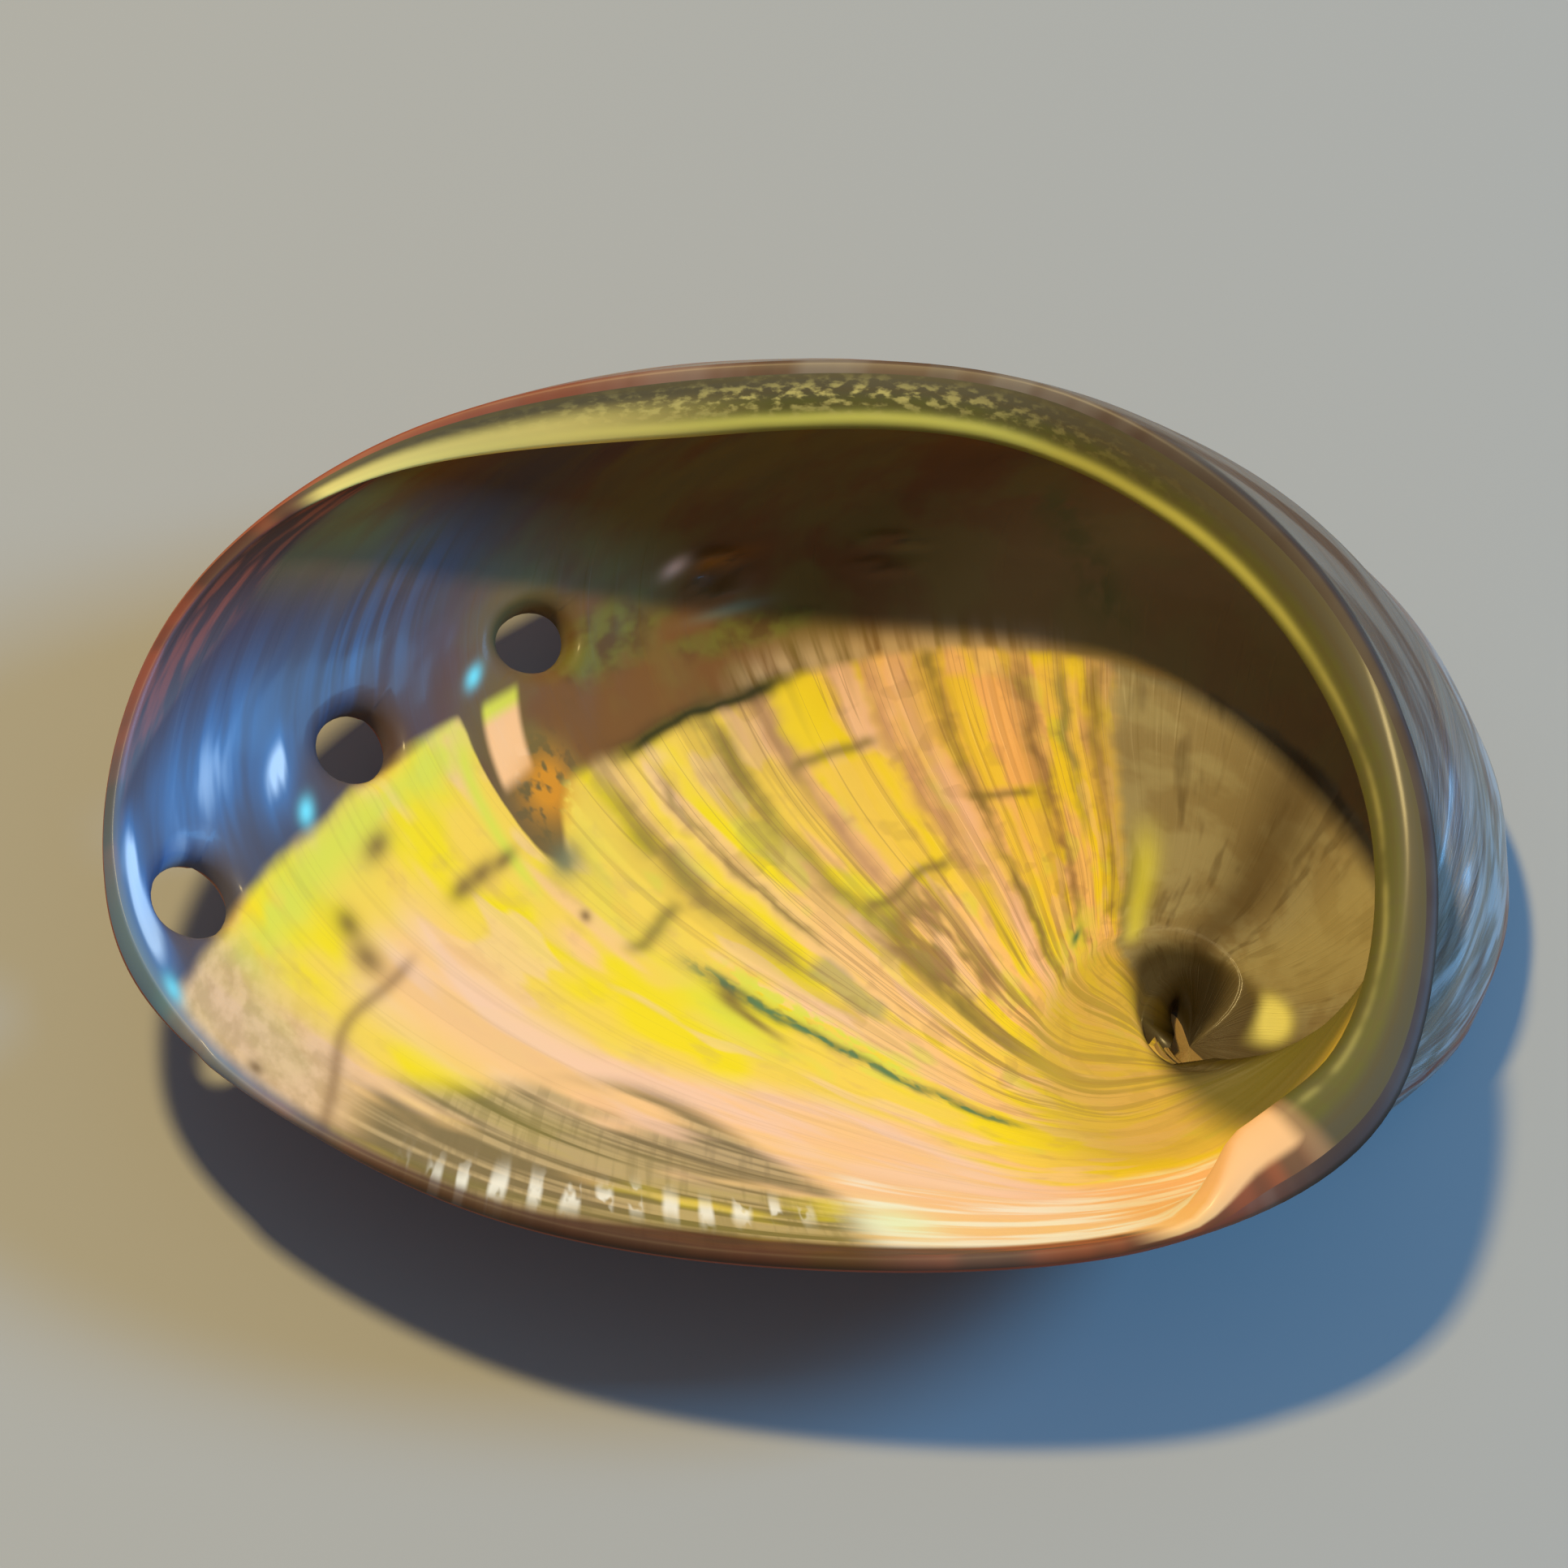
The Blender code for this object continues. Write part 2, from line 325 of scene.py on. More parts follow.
def make_shell_tree():
    """The whole shell: one grid that runs up the outside, over the lip and down the nacre."""
    inputs = {"Lip": ("NodeSocketObject", None), **SIZES}
    inputs.update({name: ("NodeSocketMaterial", None) for name in ("Outer", "Nacre")})
    tree, w, given, result = new_tree(
        "abalone growth", "GeometryNodeTree", inputs, {"Geometry": GEOMETRY}
    )
    lip = w.node("GeometryNodeObjectInfo", {"Object": given["Lip"]}).outputs["Geometry"]
    hole_row = given["Hole Row"]
    hole_spacing = given["Hole Spacing"]

    def grown(turn, share, girth=1.0):
        inputs = {"Lip": lip, "Turn": turn, "Share": share, "Girth": girth}
        inputs.update({name: given[name] for name in SPIRAL_SIZES})
        made = w.node("GeometryNodeGroup", node_tree=growth_rule)
        for name, value in inputs.items():
            if isinstance(value, bpy.types.NodeSocket):
                tree.links.new(value, made.inputs[name])
            else:
                made.inputs[name].default_value = value
        return made.outputs["Point"]

    def size_at(turn):
        return w.math("EXPONENT", w.times(turn, given["Shrink Rate"], -1.0))

    def length_of(vector):
        return w.node("ShaderNodeVectorMath", [vector], operation="LENGTH").outputs["Value"]

    # the grid: rows run from the apex up the outside, over the lip, and back down the nacre
    last_row = OUTER_ROWS + LIP_ROWS + NACRE_ROWS - 1
    corners = {"Size X": 1.0, "Size Y": 1.0, "Vertices X": last_row + 1, "Vertices Y": ROUND_POINTS + 1}
    grid = w.node("GeometryNodeMeshGrid", corners)
    flat_x, flat_y, _ = w.parts(w.node("GeometryNodeInputPosition").outputs[0])
    row = w.math("ROUND", w.times(w.add(flat_x, 0.5), float(last_row)))
    column = w.math("ROUND", w.times(flat_y, float(ROUND_POINTS)))
    outside_rows = w.most(w.less(OUTER_ROWS - 1.0, row), 0.0)
    inside_rows = w.most(w.less(row, float(OUTER_ROWS + LIP_ROWS)), 0.0)
    age_rows = w.add(outside_rows, inside_rows)
    over_lip = {"Value": row, "From Min": OUTER_ROWS - 1.0, "From Max": float(OUTER_ROWS + LIP_ROWS)}
    across = w.node("ShaderNodeMapRange", over_lip).outputs["Result"]
    from_end = w.least(row, w.less(float(last_row), row))
    to_cap = w.rest(w.least(w.over(from_end, float(CLOSING_ROWS)), 1.0))
    open_part = w.math("SQRT", w.rest(w.times(to_cap, to_cap)))
    late_rows = w.most(w.less(age_rows, float(EVEN_ROWS)), 0.0)
    even_turn = w.times(age_rows, w.over(hole_spacing, float(ROWS_TO_A_HOLE)))
    turn = w.add(even_turn, w.times(late_rows, late_rows, LATE_ROW_GROWTH))
    around = w.over(column, float(ROUND_POINTS))
    crowd = w.times(w.math("SINE", w.times(around, TURN)), CROWDING / TURN)
    from_row = w.less(around, crowd)

    # the breathing holes: the wall is parted at each one and drawn back to an oval
    number = w.math("ROUND", w.less(w.over(turn, hole_spacing), FIRST_HOLE))
    hole_turn = w.times(w.add(number, FIRST_HOLE), hole_spacing)
    middle_hole = (OPEN_HOLES - 1) / 2.0
    is_open = w.math("COMPARE", number, middle_hole, middle_hole + 0.1)
    turn_off = w.less(turn, hole_turn)
    rows_off = w.math("ABSOLUTE", w.times(turn_off, w.over(float(ROWS_TO_A_HOLE), hole_spacing)))
    columns_off = w.math("ABSOLUTE", column)
    ring = w.most(w.over(rows_off, float(HOLE_ROWS)), w.over(columns_off, float(HOLE_COLUMNS)))
    size = size_at(turn)
    hole_size = size_at(hole_turn)
    middle = grown(hole_turn, hole_row)
    back = w.scaled(w.gap(grown(w.add(hole_turn, TINY), hole_row), middle), 1.0 / TINY)
    round_it = w.scaled(w.gap(grown(hole_turn, w.add(hole_row, TINY)), middle), 1.0 / TINY)
    offset = w.joined(w.scaled(back, turn_off), w.scaled(round_it, from_row))
    distance = w.most(length_of(offset), 1e-6)
    lengthways = w.node("ShaderNodeVectorMath", (offset, w.unit(back)), operation="DOT_PRODUCT")
    leaning = w.least(w.over(lengthways.outputs["Value"], distance), 1.0)
    slant = w.math("ARCCOSINE", w.most(leaning, -1.0))
    long_part = w.over(w.times(w.math("COSINE", slant), 2.0), given["Hole Length"])
    wide_part = w.over(w.times(w.math("SINE", slant), 2.0), given["Hole Width"])
    both_parts = w.add(w.times(long_part, long_part), w.times(wide_part, wide_part))
    radius = w.over(hole_size, w.math("SQRT", both_parts))
    spread_ring = w.add(w.math("POWER", w.most(w.less(ring, 1.0), 0.0), 1.5), 1.0)
    drawn = w.over(w.times(radius, spread_ring), distance)
    eased = w.mix(w.step(ring, 1.0, HOLE_REACH), drawn, 1.0)
    near_hole = w.times(is_open, w.math("LESS_THAN", ring, HOLE_REACH))
    draw = w.mix(w.times(near_hole, w.math("GREATER_THAN", ring, 0.99)), 1.0, eased)
    turn = w.add(hole_turn, w.times(turn_off, draw))
    share = w.add(hole_row, w.times(from_row, draw))
    distance = w.times(distance, draw)
    hole_gap = w.times(w.less(distance, radius), is_open)
    gone = w.times(is_open, w.math("LESS_THAN", ring, 0.99))

    # the plain wall, its way out and its way back along the spiral
    point = grown(turn, share)
    backward = w.unit(w.gap(grown(w.add(turn, TINY), share), point))
    sideways = w.gap(grown(turn, w.add(share, TINY)), grown(turn, w.less(share, TINY)))
    crossed = w.node("ShaderNodeVectorMath", (sideways, backward), operation="CROSS_PRODUCT")
    outward = w.unit(crossed.outputs[0])

    # how thick the wall is: thin at the lip, broad along the shelf and at its heel
    wrapped = w.math("FRACT", w.add(share, 1.0))
    shelf = w.times(w.step(wrapped, *SHELF_START), w.rest(w.step(wrapped, *SHELF_END)))
    fresh = w.math("EXPONENT", w.times(turn, -THICKENING))
    body = w.mix(fresh, given["Wall"], given["Lip Edge"])
    narrowing = w.times(given["Shelf Narrowing"], w.step(wrapped, *SHELF_NARROWS))
    broad = w.less(w.less(given["Shelf Width"], given["Lip Edge"]), narrowing)
    broad = w.add(broad, w.times(given["Shelf Heel"], w.bell(wrapped, HEEL_PLACE, HEEL_SPREAD)))
    ledge = w.times(broad, shelf, w.bell(turn, 0.0, given["Shelf Turn"]))
    young = w.least(w.add(w.times(size, THINNING), THINNEST_SHARE), 1.0)
    thickness = w.times(w.add(body, ledge), young)

    # relief of the outside: the keel and mounds of the holes, folds, swells and growth lines
    tube = w.on_tube(turn, share)
    from_keel = w.less(w.math("FRACT", w.add(share, 1.5 - SIZES["Hole Row"])), 0.5)
    groove = w.times(w.bell(from_keel, -GROOVE_OFFSET, KEEL_SPREAD), GROOVE_SHARE)
    keel = w.times(given["Keel Height"], w.less(w.bell(from_keel, 0.0, KEEL_SPREAD), groove))
    folds = w.times(given["Fold Height"], w.math("COSINE", w.times(share, TURN * FOLD_COUNT)))
    swell_wave = w.math("COSINE", w.times(turn, TURN / SWELL_SPACING))
    swells = w.times(given["Swell Height"], swell_wave)
    lines = w.times(w.less(w.grain(tube, 0.7, 26.0, detail=3.0), 0.5), LINE_HEIGHT)
    off_shelf = w.rest(w.times(shelf, 0.8))
    soft = w.times(w.add(folds, swells, lines), off_shelf, w.step(turn, 0.0, RELIEF_TURN))
    to_hole = w.over(w.least(distance, 50.0), hole_size)
    is_hole = w.math("LESS_THAN", number, OPEN_HOLES + HEALED_HOLES - 0.5)
    is_healed = w.less(is_hole, is_open)
    mound = w.times(given["Mound Height"], w.bell(to_hole, 0.0, MOUND_SPREAD), is_hole)
    plug = w.times(w.bell(to_hole, 0.0, PLUG_SPREAD), PLUG_DEPTH, is_healed)
    outer_relief = w.times(w.add(keel, soft, w.less(mound, plug)), size)

    # relief of the nacre: ripples along old lips, sunk scars where the first holes healed
    ripples = w.less(w.grain(tube, 1.53, 9.35, detail=2.5, roughness=0.55), 0.5)
    ripple_height = w.times(given["Nacre Ripple"], 3.0, w.step(turn, 0.05, 0.35))
    ripples = w.times(ripples, ripple_height, w.rest(w.times(shelf, 0.5)))
    scar = w.less(w.bell(to_hole, 1.7, 0.6), w.bell(to_hole, 0.0, 1.2))
    scar = w.times(scar, SCAR_HEIGHT, is_healed, w.step(hole_turn, 1.4, 0.9))
    inner_relief = w.times(w.add(ripples, scar), w.least(w.times(size, 1.4), 1.0))

    # the two faces of the wall meet round each hole in a soft edge, flared on the nacre side
    def rounded(edge_width):
        edge = w.least(w.over(w.over(hole_gap, hole_size), edge_width), 1.0)
        short = w.rest(w.most(edge, 0.0))
        return w.math("SQRT", w.most(w.rest(w.times(short, short)), 0.0))

    outer_place = w.times(w.rest(rounded(HOLE_EDGE_OUTSIDE)), HOLE_EDGE_MEETS, near_hole)
    inner_place = w.mix(near_hole, 1.0, w.mix(rounded(HOLE_EDGE_NACRE), HOLE_EDGE_MEETS, 1.0))
    depth = w.mix(across, outer_place, inner_place)

    # every point is put in its place between the two faces
    level = w.node("ShaderNodeVectorMath", (outward, (1.0, 1.0, SHELF_SLOPE)), operation="MULTIPLY")
    lean = w.joined(outward, w.scaled(w.gap(level.outputs[0], outward), shelf))
    inward = w.scaled(w.unit(lean), -1.0)
    lip_height = w.times(given["Lip Round"], w.math("SQRT", w.math("SINE", w.times(across, math.pi))))
    relief = w.less(w.times(outer_relief, w.rest(depth)), w.times(inner_relief, depth))
    place = w.joined(point, w.scaled(inward, w.times(thickness, depth)))
    place = w.joined(place, w.scaled(outward, relief))
    place = w.gap(place, w.scaled(backward, lip_height))
    rolled = w.times(shelf, w.math("POWER", across, SHELF_ROLL), w.step(turn, 0.22, 0.0))
    place = w.gap(place, w.vector(0.0, 0.0, w.times(rolled, given["Shelf Drop"])))
    centre = grown(turn, share, 0.0)
    place = w.joined(centre, w.scaled(w.gap(place, centre), open_part))

    # the grid is parted, marked with its growth, put in place, closed and painted
    parted = w.node("GeometryNodeDeleteGeometry", {"Geometry": grid.outputs["Mesh"]}, domain="POINT")
    tree.links.new(gone, parted.inputs["Selection"])
    kept = w.node(
        "GeometryNodeStoreNamedAttribute",
        {"Geometry": parted.outputs[0], "Name": "growth"},
        data_type="FLOAT_VECTOR",
        domain="CORNER",
    )
    tree.links.new(w.vector(turn, share, depth), kept.inputs["Value"])
    wall = w.node("GeometryNodeSetPosition", {"Geometry": kept.outputs[0], "Position": place})
    closing = {"Geometry": wall.outputs[0], "Distance": WELD}
    closed = w.node("GeometryNodeMergeByDistance", closing)
    smooth = w.node("GeometryNodeSetShadeSmooth", {"Geometry": closed.outputs[0]})
    real = w.node("GeometryNodeRealizeInstances", {"Geometry": smooth.outputs[0]})
    painted = {"Geometry": real.outputs[0], "Material": given["Outer"]}
    outer = w.node("GeometryNodeSetMaterial", painted)
    lined = {"Geometry": outer.outputs[0], "Material": given["Nacre"]}
    nacre = w.node("GeometryNodeSetMaterial", lined)
    marked = w.node("GeometryNodeInputNamedAttribute", {"Name": "growth"}, data_type="FLOAT_VECTOR")
    laid_turn, laid_share, laid_depth = w.parts(marked.outputs["Attribute"])
    axis_side = w.bell(w.math("FRACT", w.add(laid_share, 1.0)), *PIT_SIDE)
    is_old = w.math("GREATER_THAN", laid_turn, PIT_TURN)
    in_pit = w.times(is_old, w.math("GREATER_THAN", axis_side, 0.5))
    tree.links.new(w.most(w.math("GREATER_THAN", laid_depth, 0.2), in_pit), nacre.inputs["Selection"])
    tree.links.new(nacre.outputs[0], result["Geometry"])
    return tree


# The nacre lining: thousands of glassy layers that split the light, gold and peach over the floor of
# the bowl, brown in painted shade under the shelf, grey in painted shade with painted blue gleams of
# reflected light in front. Its streaks are old lips, so they are painted by turn and share, which the
# nodes above left on the mesh as the growth attribute.

COLOUR = ("NodeSocketColor", None)


def paint(red, green, blue):
    """A colour as the eye reads it, 0 to 255, as the linear values that Blender mixes."""
    return (*((part / 255.0) ** 2.2 for part in (red, green, blue)), 1.0)


GOLD = paint(250, 208, 84)
YELLOW = paint(250, 218, 38)
LIME = paint(224, 220, 78)
PEACH = paint(255, 196, 140)
APRICOT = paint(255, 190, 122)
PINK = paint(252, 200, 168)
CREAM = paint(255, 242, 218)
OLIVE = paint(138, 118, 58)
UMBER = paint(140, 104, 70)
MAUVE = paint(190, 140, 108)
MOSS = paint(112, 118, 62)
TAWNY = paint(144, 128, 92)
SAND = paint(160, 148, 112)
DEEP_BROWN = paint(92, 76, 50)
WALL_SHADE_BROWN = paint(122, 82, 42)
WALL_SHADE_OLIVE = paint(124, 102, 50)
WALL_SHADE_MAUVE = paint(80, 64, 72)
FRONT_SHADE_GREY = paint(76, 74, 86)
GLEAM_BLUE = paint(84, 138, 198)
GLEAM_WHITE = paint(190, 218, 250)
GLINT_CYAN = paint(120, 222, 240)
TEAL = paint(84, 124, 84)
LIT_AMBER = paint(214, 140, 40)
RIM_RED = paint(150, 72, 44)
RIM_DARK = paint(86, 52, 38)
SHELF_BROWN = paint(94, 85, 62)
SHELF_OLIVE = paint(98, 94, 46)
SHELF_HIGHLIGHT_LIME = paint(224, 216, 100)

# paints that are used in one place each
DULL_GOLD = paint(196, 170, 72)
STRAW = paint(176, 160, 108)
CUP_SHADE_OLIVE = paint(104, 98, 46)
CUP_SHADE_DARK = paint(58, 48, 18)
DEPTH_SHADE_BROWN = paint(84, 68, 34)
PIT_SHADE = paint(52, 42, 16)
GLINT_YELLOW = paint(255, 246, 140)
BEIGE = paint(184, 156, 110)
DARK_BEIGE = paint(112, 98, 66)
BEIGE_LINE = paint(120, 104, 72)
LIP_PINK = paint(224, 184, 144)
LIP_TAN = paint(196, 160, 120)
PALE_LIME = paint(236, 246, 190)
WALL_SAND = paint(196, 166, 104)
NOTCH_SHADOW_OLIVE = paint(112, 112, 42)
NOTCH_SHADOW_BROWN = paint(88, 66, 28)
LEDGE_BEIGE = paint(204, 174, 132)
SAGE = paint(140, 150, 120)
HOLE_SHADE_BROWN = paint(104, 82, 66)
EDGE_DARK = paint(44, 46, 14)
HEALED_AMBER = paint(156, 98, 34)
MARK_BROWN = paint(112, 84, 56)
GREY_GREEN = paint(116, 120, 92)
SHELF_GROOVE_SHADE = paint(62, 50, 34)
SHELF_MOTTLE = paint(96, 86, 58)
SHELF_STRIPE = paint(98, 84, 46)
SHELF_CREST_HIGHLIGHT = paint(160, 150, 84)
SHELF_SPARK_HIGHLIGHT = paint(226, 208, 122)
SHELF_YOUNG = paint(252, 226, 128)
RIM_COOL_SHEEN = paint(108, 134, 156)
RIM_GROOVE_SHADE = paint(48, 36, 28)
RIM_LOW_SHADE = paint(76, 46, 34)

NACRE_LINES = 0.000015
FAN_LEAN = 1.4
FAN_TOP = 0.87

# streaks of the fan: place across it, half width, from and to which share, strength, colour
FAN_STREAKS = [
    (0.545, 0.013, 0.665, 0.800, 0.85, MOSS),
    (0.667, 0.022, 0.770, 0.890, 0.80, OLIVE),
    (0.712, 0.016, 0.780, 0.885, 0.80, YELLOW),
    (0.742, 0.010, 0.770, 0.870, 0.70, OLIVE),
    (0.775, 0.012, 0.790, 0.885, 0.60, YELLOW),
    (0.862, 0.020, 0.660, 0.890, 0.88, OLIVE),
    (0.950, 0.024, 0.770, 0.890, 0.70, MAUVE),
    (1.150, 0.020, 0.750, 0.890, 0.75, MAUVE),
    (1.215, 0.030, 0.650, 0.875, 0.92, PINK),
    (1.268, 0.019, 0.640, 0.890, 0.90, OLIVE),
    (1.320, 0.020, 0.680, 0.785, 0.85, YELLOW),
    (1.450, 0.020, 0.660, 0.880, 0.85, UMBER),
    (1.530, 0.018, 0.760, 0.880, 0.70, MOSS),
    (1.605, 0.026, 0.680, 0.900, 0.85, OLIVE),
]
# blocks between the streaks: from and to across the fan, from and to which share, strength, colour
FAN_BLOCKS = [
    (0.66, 0.72, 0.730, 0.765, 0.60, SAND),
    (0.96, 1.06, 0.846, 0.890, 0.95, YELLOW),
    (0.99, 1.09, 0.770, 0.836, 0.85, GOLD),
    (1.08, 1.13, 0.838, 0.888, 0.85, PINK),
    (1.29, 1.43, 0.798, 0.868, 0.90, APRICOT),
    (1.29, 1.35, 0.798, 0.868, 0.80, YELLOW),
]
# arcs across the streaks: share, from and to across the fan
FAN_ARCS = [(0.842, 0.95, 1.12), (0.765, 0.88, 1.12), (0.794, 1.25, 1.41), (0.820, 0.50, 0.62)]

# dark marks on the floor: turn and share, then how far each reaches in both
MARKS = [
    (0.330, 0.912, 0.022, 0.0056),
    (0.240, 0.900, 0.016, 0.0060),
    (0.228, 0.888, 0.018, 0.0070),
    (0.395, 0.879, 0.024, 0.0036),
    (0.430, 0.878, 0.026, 0.0036),
    (0.470, 0.876, 0.024, 0.0030),
    (0.520, 0.842, 0.010, 0.0025),
    (0.600, 0.783, 0.022, 0.0070),
    (0.590, 0.772, 0.012, 0.0120),
    (0.020, 0.900, 0.008, 0.0030),
]


def new_pattern(name, roughness, coat):
    """An empty group that will turn the growth of the shell into the looks of its surface."""
    outputs = {"Colour": COLOUR, "Roughness": roughness, "Coat": coat, "Lines": 0.0}
    return new_tree(name, "ShaderNodeTree", {"Growth": VECTOR}, outputs)


def make_nacre_pattern():
    """The group that paints the nacre: colour, roughness and the height of its finest lines."""
    tree, w, given, result = new_pattern("nacre pattern", 0.3, 0.3)
    turn, share, depth = w.parts(given["Growth"])
    wrapped = w.math("FRACT", w.add(share, 1.0))
    lean = w.add(w.times(w.less(share, FAN_TOP), FAN_LEAN), 1.0)
    fan_turn = w.times(turn, lean)
    straight = w.on_tube(turn, share)
    fanned = w.on_tube(fan_turn, share)
    cover = w.cover

    def grain(along_lip, along_turn, seed=0.0, detail=2.0, roughness=0.5, of=fanned):
        return w.grain(of, along_lip, along_turn, seed, detail, roughness)

    def spot(spot_turn, spot_share, turn_radius, share_radius):
        in_turn = w.bell(turn, spot_turn, turn_radius)
        return w.times(in_turn, w.bell(share, spot_share, share_radius))

    # gold floor, in soft patches of yellow, peach and pink
    colour = w.blend(w.step(grain(2.6, 8.0, 3.0), 0.47, 0.58), GOLD, YELLOW)
    colour = cover(colour, w.step(grain(1.7, 11.0, 11.0), 0.5, 0.58), 0.75, PEACH)
    colour = cover(colour, w.step(grain(2.2, 13.0, 23.0), 0.57, 0.62), 0.4, PINK)
    colour = cover(colour, w.step(grain(3.4, 9.0, 31.0), 0.6, 0.68), 0.5, LIME)
    colour = cover(colour, w.step(grain(9.0, 26.0, 33.0, 3.0), 0.52, 0.7), 0.22, MAUVE)
    band_end = w.add(w.times(w.bell(share, 0.72, 0.06), 0.18), 0.33)
    in_band = w.step(w.less(turn, band_end), 0.04, -0.04)
    peach_band = w.times(in_band, w.step(turn, 0.14, 0.24), w.between(share, 0.60, 0.888, 0.012))
    band_grain = w.blend(w.step(grain(3.0, 20.0, 5.0, of=straight), 0.4, 0.6), PEACH, PINK)
    colour = cover(colour, peach_band, 0.85, band_grain)

    # the green-yellow edge of the floor along the breathing holes, and below the third hole
    hole_side = w.times(w.bell(share, 0.924, 0.013), w.between(turn, 0.04, 0.5, 0.04))
    below_third = w.times(spot(0.58, 0.842, 0.05, 0.03), 0.5)
    lime_edge = w.times(w.most(hole_side, below_third), w.step(grain(5.0, 16.0, 8.0), 0.3, 0.55))
    colour = cover(colour, lime_edge, 0.9, LIME)
    colour = cover(colour, spot(0.56, 0.78, 0.05, 0.02), 0.7, LIME)

    # the fan of old lips out of the pit: blocks, then streaks, then the arcs that cross them
    waver = w.times(w.less(grain(9.0, 3.0, 91.0), 0.5), 0.05)
    wavy_turn = w.add(fan_turn, waver)
    wavy_share = w.add(share, w.times(w.less(grain(2.0, 9.0, 93.0), 0.5), 0.012))
    for start, end, low, high, strength, block_colour in FAN_BLOCKS:
        block = w.between(wavy_turn, start, end, 0.012)
        block = w.times(block, w.between(wavy_share, low, high, 0.004))
        colour = cover(colour, block, strength, block_colour)
    unworn = w.mix(w.step(grain(3.6, 6.0, 41.0, 3.0), 0.34, 0.54), 0.55, 1.0)
    for middle, width, low, high, strength, streak_colour in FAN_STREAKS:
        streak = w.times(w.bell(wavy_turn, middle, width), w.between(wavy_share, low, high, 0.012))
        colour = cover(colour, w.times(streak, unworn), strength, streak_colour)
    for arc_share, start, end in FAN_ARCS:
        arc = w.times(w.bell(wavy_share, arc_share, 0.0035), w.between(fan_turn, start, end, 0.02))
        colour = cover(colour, arc, 0.75, OLIVE)
    bruise = w.times(w.between(fan_turn, 0.84, 1.04, 0.04), w.between(share, 0.69, 0.762, 0.012))
    bruise_colour = w.blend(w.step(grain(9.0, 30.0, 42.0, 3.0), 0.42, 0.58), UMBER, OLIVE)
    bruise = w.times(bruise, w.step(grain(5.0, 16.0, 44.0), 0.36, 0.54))
    colour = cover(colour, bruise, 0.8, bruise_colour)

    # finer streaks, closer where the old lips run together towards the pit
    fan = w.times(w.step(fan_turn, 0.5, 0.7), w.step(fan_turn, 1.75, 1.6))
    to_pit = w.mix(w.step(share, 0.74, 0.66), 0.3, 1.0)
    broad_streaks = w.step(grain(0.7, 16.0, 2.0, 1.5, 0.6), 0.54, 0.62)
    fine_streaks = w.step(grain(0.9, 34.0, 17.0, 1.5, 0.6), 0.54, 0.62)
    colour = cover(colour, w.times(broad_streaks, fan, to_pit), 0.78, OLIVE)
    colour = cover(colour, w.times(fine_streaks, w.add(0.12, w.times(fan, to_pit))), 0.55, UMBER)
    patches = w.times(w.step(grain(7.0, 9.0, 53.0), 0.58, 0.64), fan)
    colour = cover(colour, patches, 0.18, UMBER)
    hair = w.math("ABSOLUTE", w.less(grain(0.5, 50.0, 29.0, 1.0), 0.5))
    colour = cover(colour, w.times(w.step(hair, 0.03, 0.0), w.add(0.3, fan)), 0.3, UMBER)
    dull_gold = w.times(w.step(share, 0.68, 0.62), w.step(turn, 0.4, 0.7))
    colour = cover(colour, dull_gold, 0.65, DULL_GOLD)
    speckle = w.step(grain(26.0, 60.0, 67.0, 1.0), 0.45, 0.6)
    speckle_line = w.times(w.bell(fan_turn, 0.545, 0.012), w.between(share, 0.67, 0.8, 0.01))
    colour = cover(colour, w.times(speckle_line, speckle), 0.8, TEAL)
    lime_flecks = w.times(w.bell(fan_turn, 0.575, 0.02), w.between(share, 0.71, 0.79, 0.01))
    colour = cover(colour, w.times(lime_flecks, w.rest(speckle)), 0.9, LIME)

    # the duller nacre at the right of the bowl, darker partly with age and partly as painted shade, with
    # one dark valley down to the pit
    aged_and_shaded = w.blend(w.step(grain(4.5, 4.5, 19.0, 3.0), 0.4, 0.62), TAWNY, SAND)
    aged_and_shaded = cover(aged_and_shaded, w.step(grain(2.0, 12.0, 21.0), 0.54, 0.66), 0.5, DEEP_BROWN)
    aged_and_shaded = cover(aged_and_shaded, w.bell(wavy_turn, 2.25, 0.16), 0.8, DEEP_BROWN)
    aged_and_shaded = cover(aged_and_shaded, w.step(w.bell(wavy_turn, 2.9, 0.4), 0.2, 0.9), 0.6, STRAW)
    lime_seam = w.times(w.bell(fan_turn, 1.74, 0.06), w.between(share, 0.62, 0.76, 0.03))
    aged_and_shaded = cover(aged_and_shaded, lime_seam, 0.7, LIME)
    colour = w.blend(w.step(wavy_turn, 1.6, 1.68), colour, aged_and_shaded)
    green_patch = w.times(spot(1.95, 0.675, 0.16, 0.03), w.step(grain(6.0, 20.0, 6.0), 0.35, 0.6))
    colour = cover(colour, green_patch, 0.8, LIME)
    colour = cover(colour, spot(1.95, 0.675, 0.03, 0.007), 0.95, TEAL)
    # painted shade: olive going dark in the cup under the shelf's heel, then darker brown and near black
    # deep in the pit
    cup_edge = w.less(0.594, w.times(turn, 0.036))
    in_cup = w.times(w.step(w.less(share, cup_edge), 0.012, -0.012), w.step(turn, 0.3, 0.6))
    cup_shade_colour = w.blend(w.step(turn, 1.1, 1.9), CUP_SHADE_OLIVE, CUP_SHADE_DARK)
    colour = cover(colour, in_cup, 0.94, cup_shade_colour)
    colour = cover(colour, w.step(turn, 3.7, 4.3), 0.85, DEPTH_SHADE_BROWN)
    deep_cup = w.times(w.step(turn, 2.5, 3.1), w.step(share, 0.64, 0.56))
    colour = cover(colour, deep_cup, 0.92, PIT_SHADE)
    # painted highlight: a yellow glint on the far wall of the pit
    colour = cover(colour, w.step(spot(4.1, 0.745, 0.3, 0.045), 0.15, 0.85), 1.0, GLINT_YELLOW)

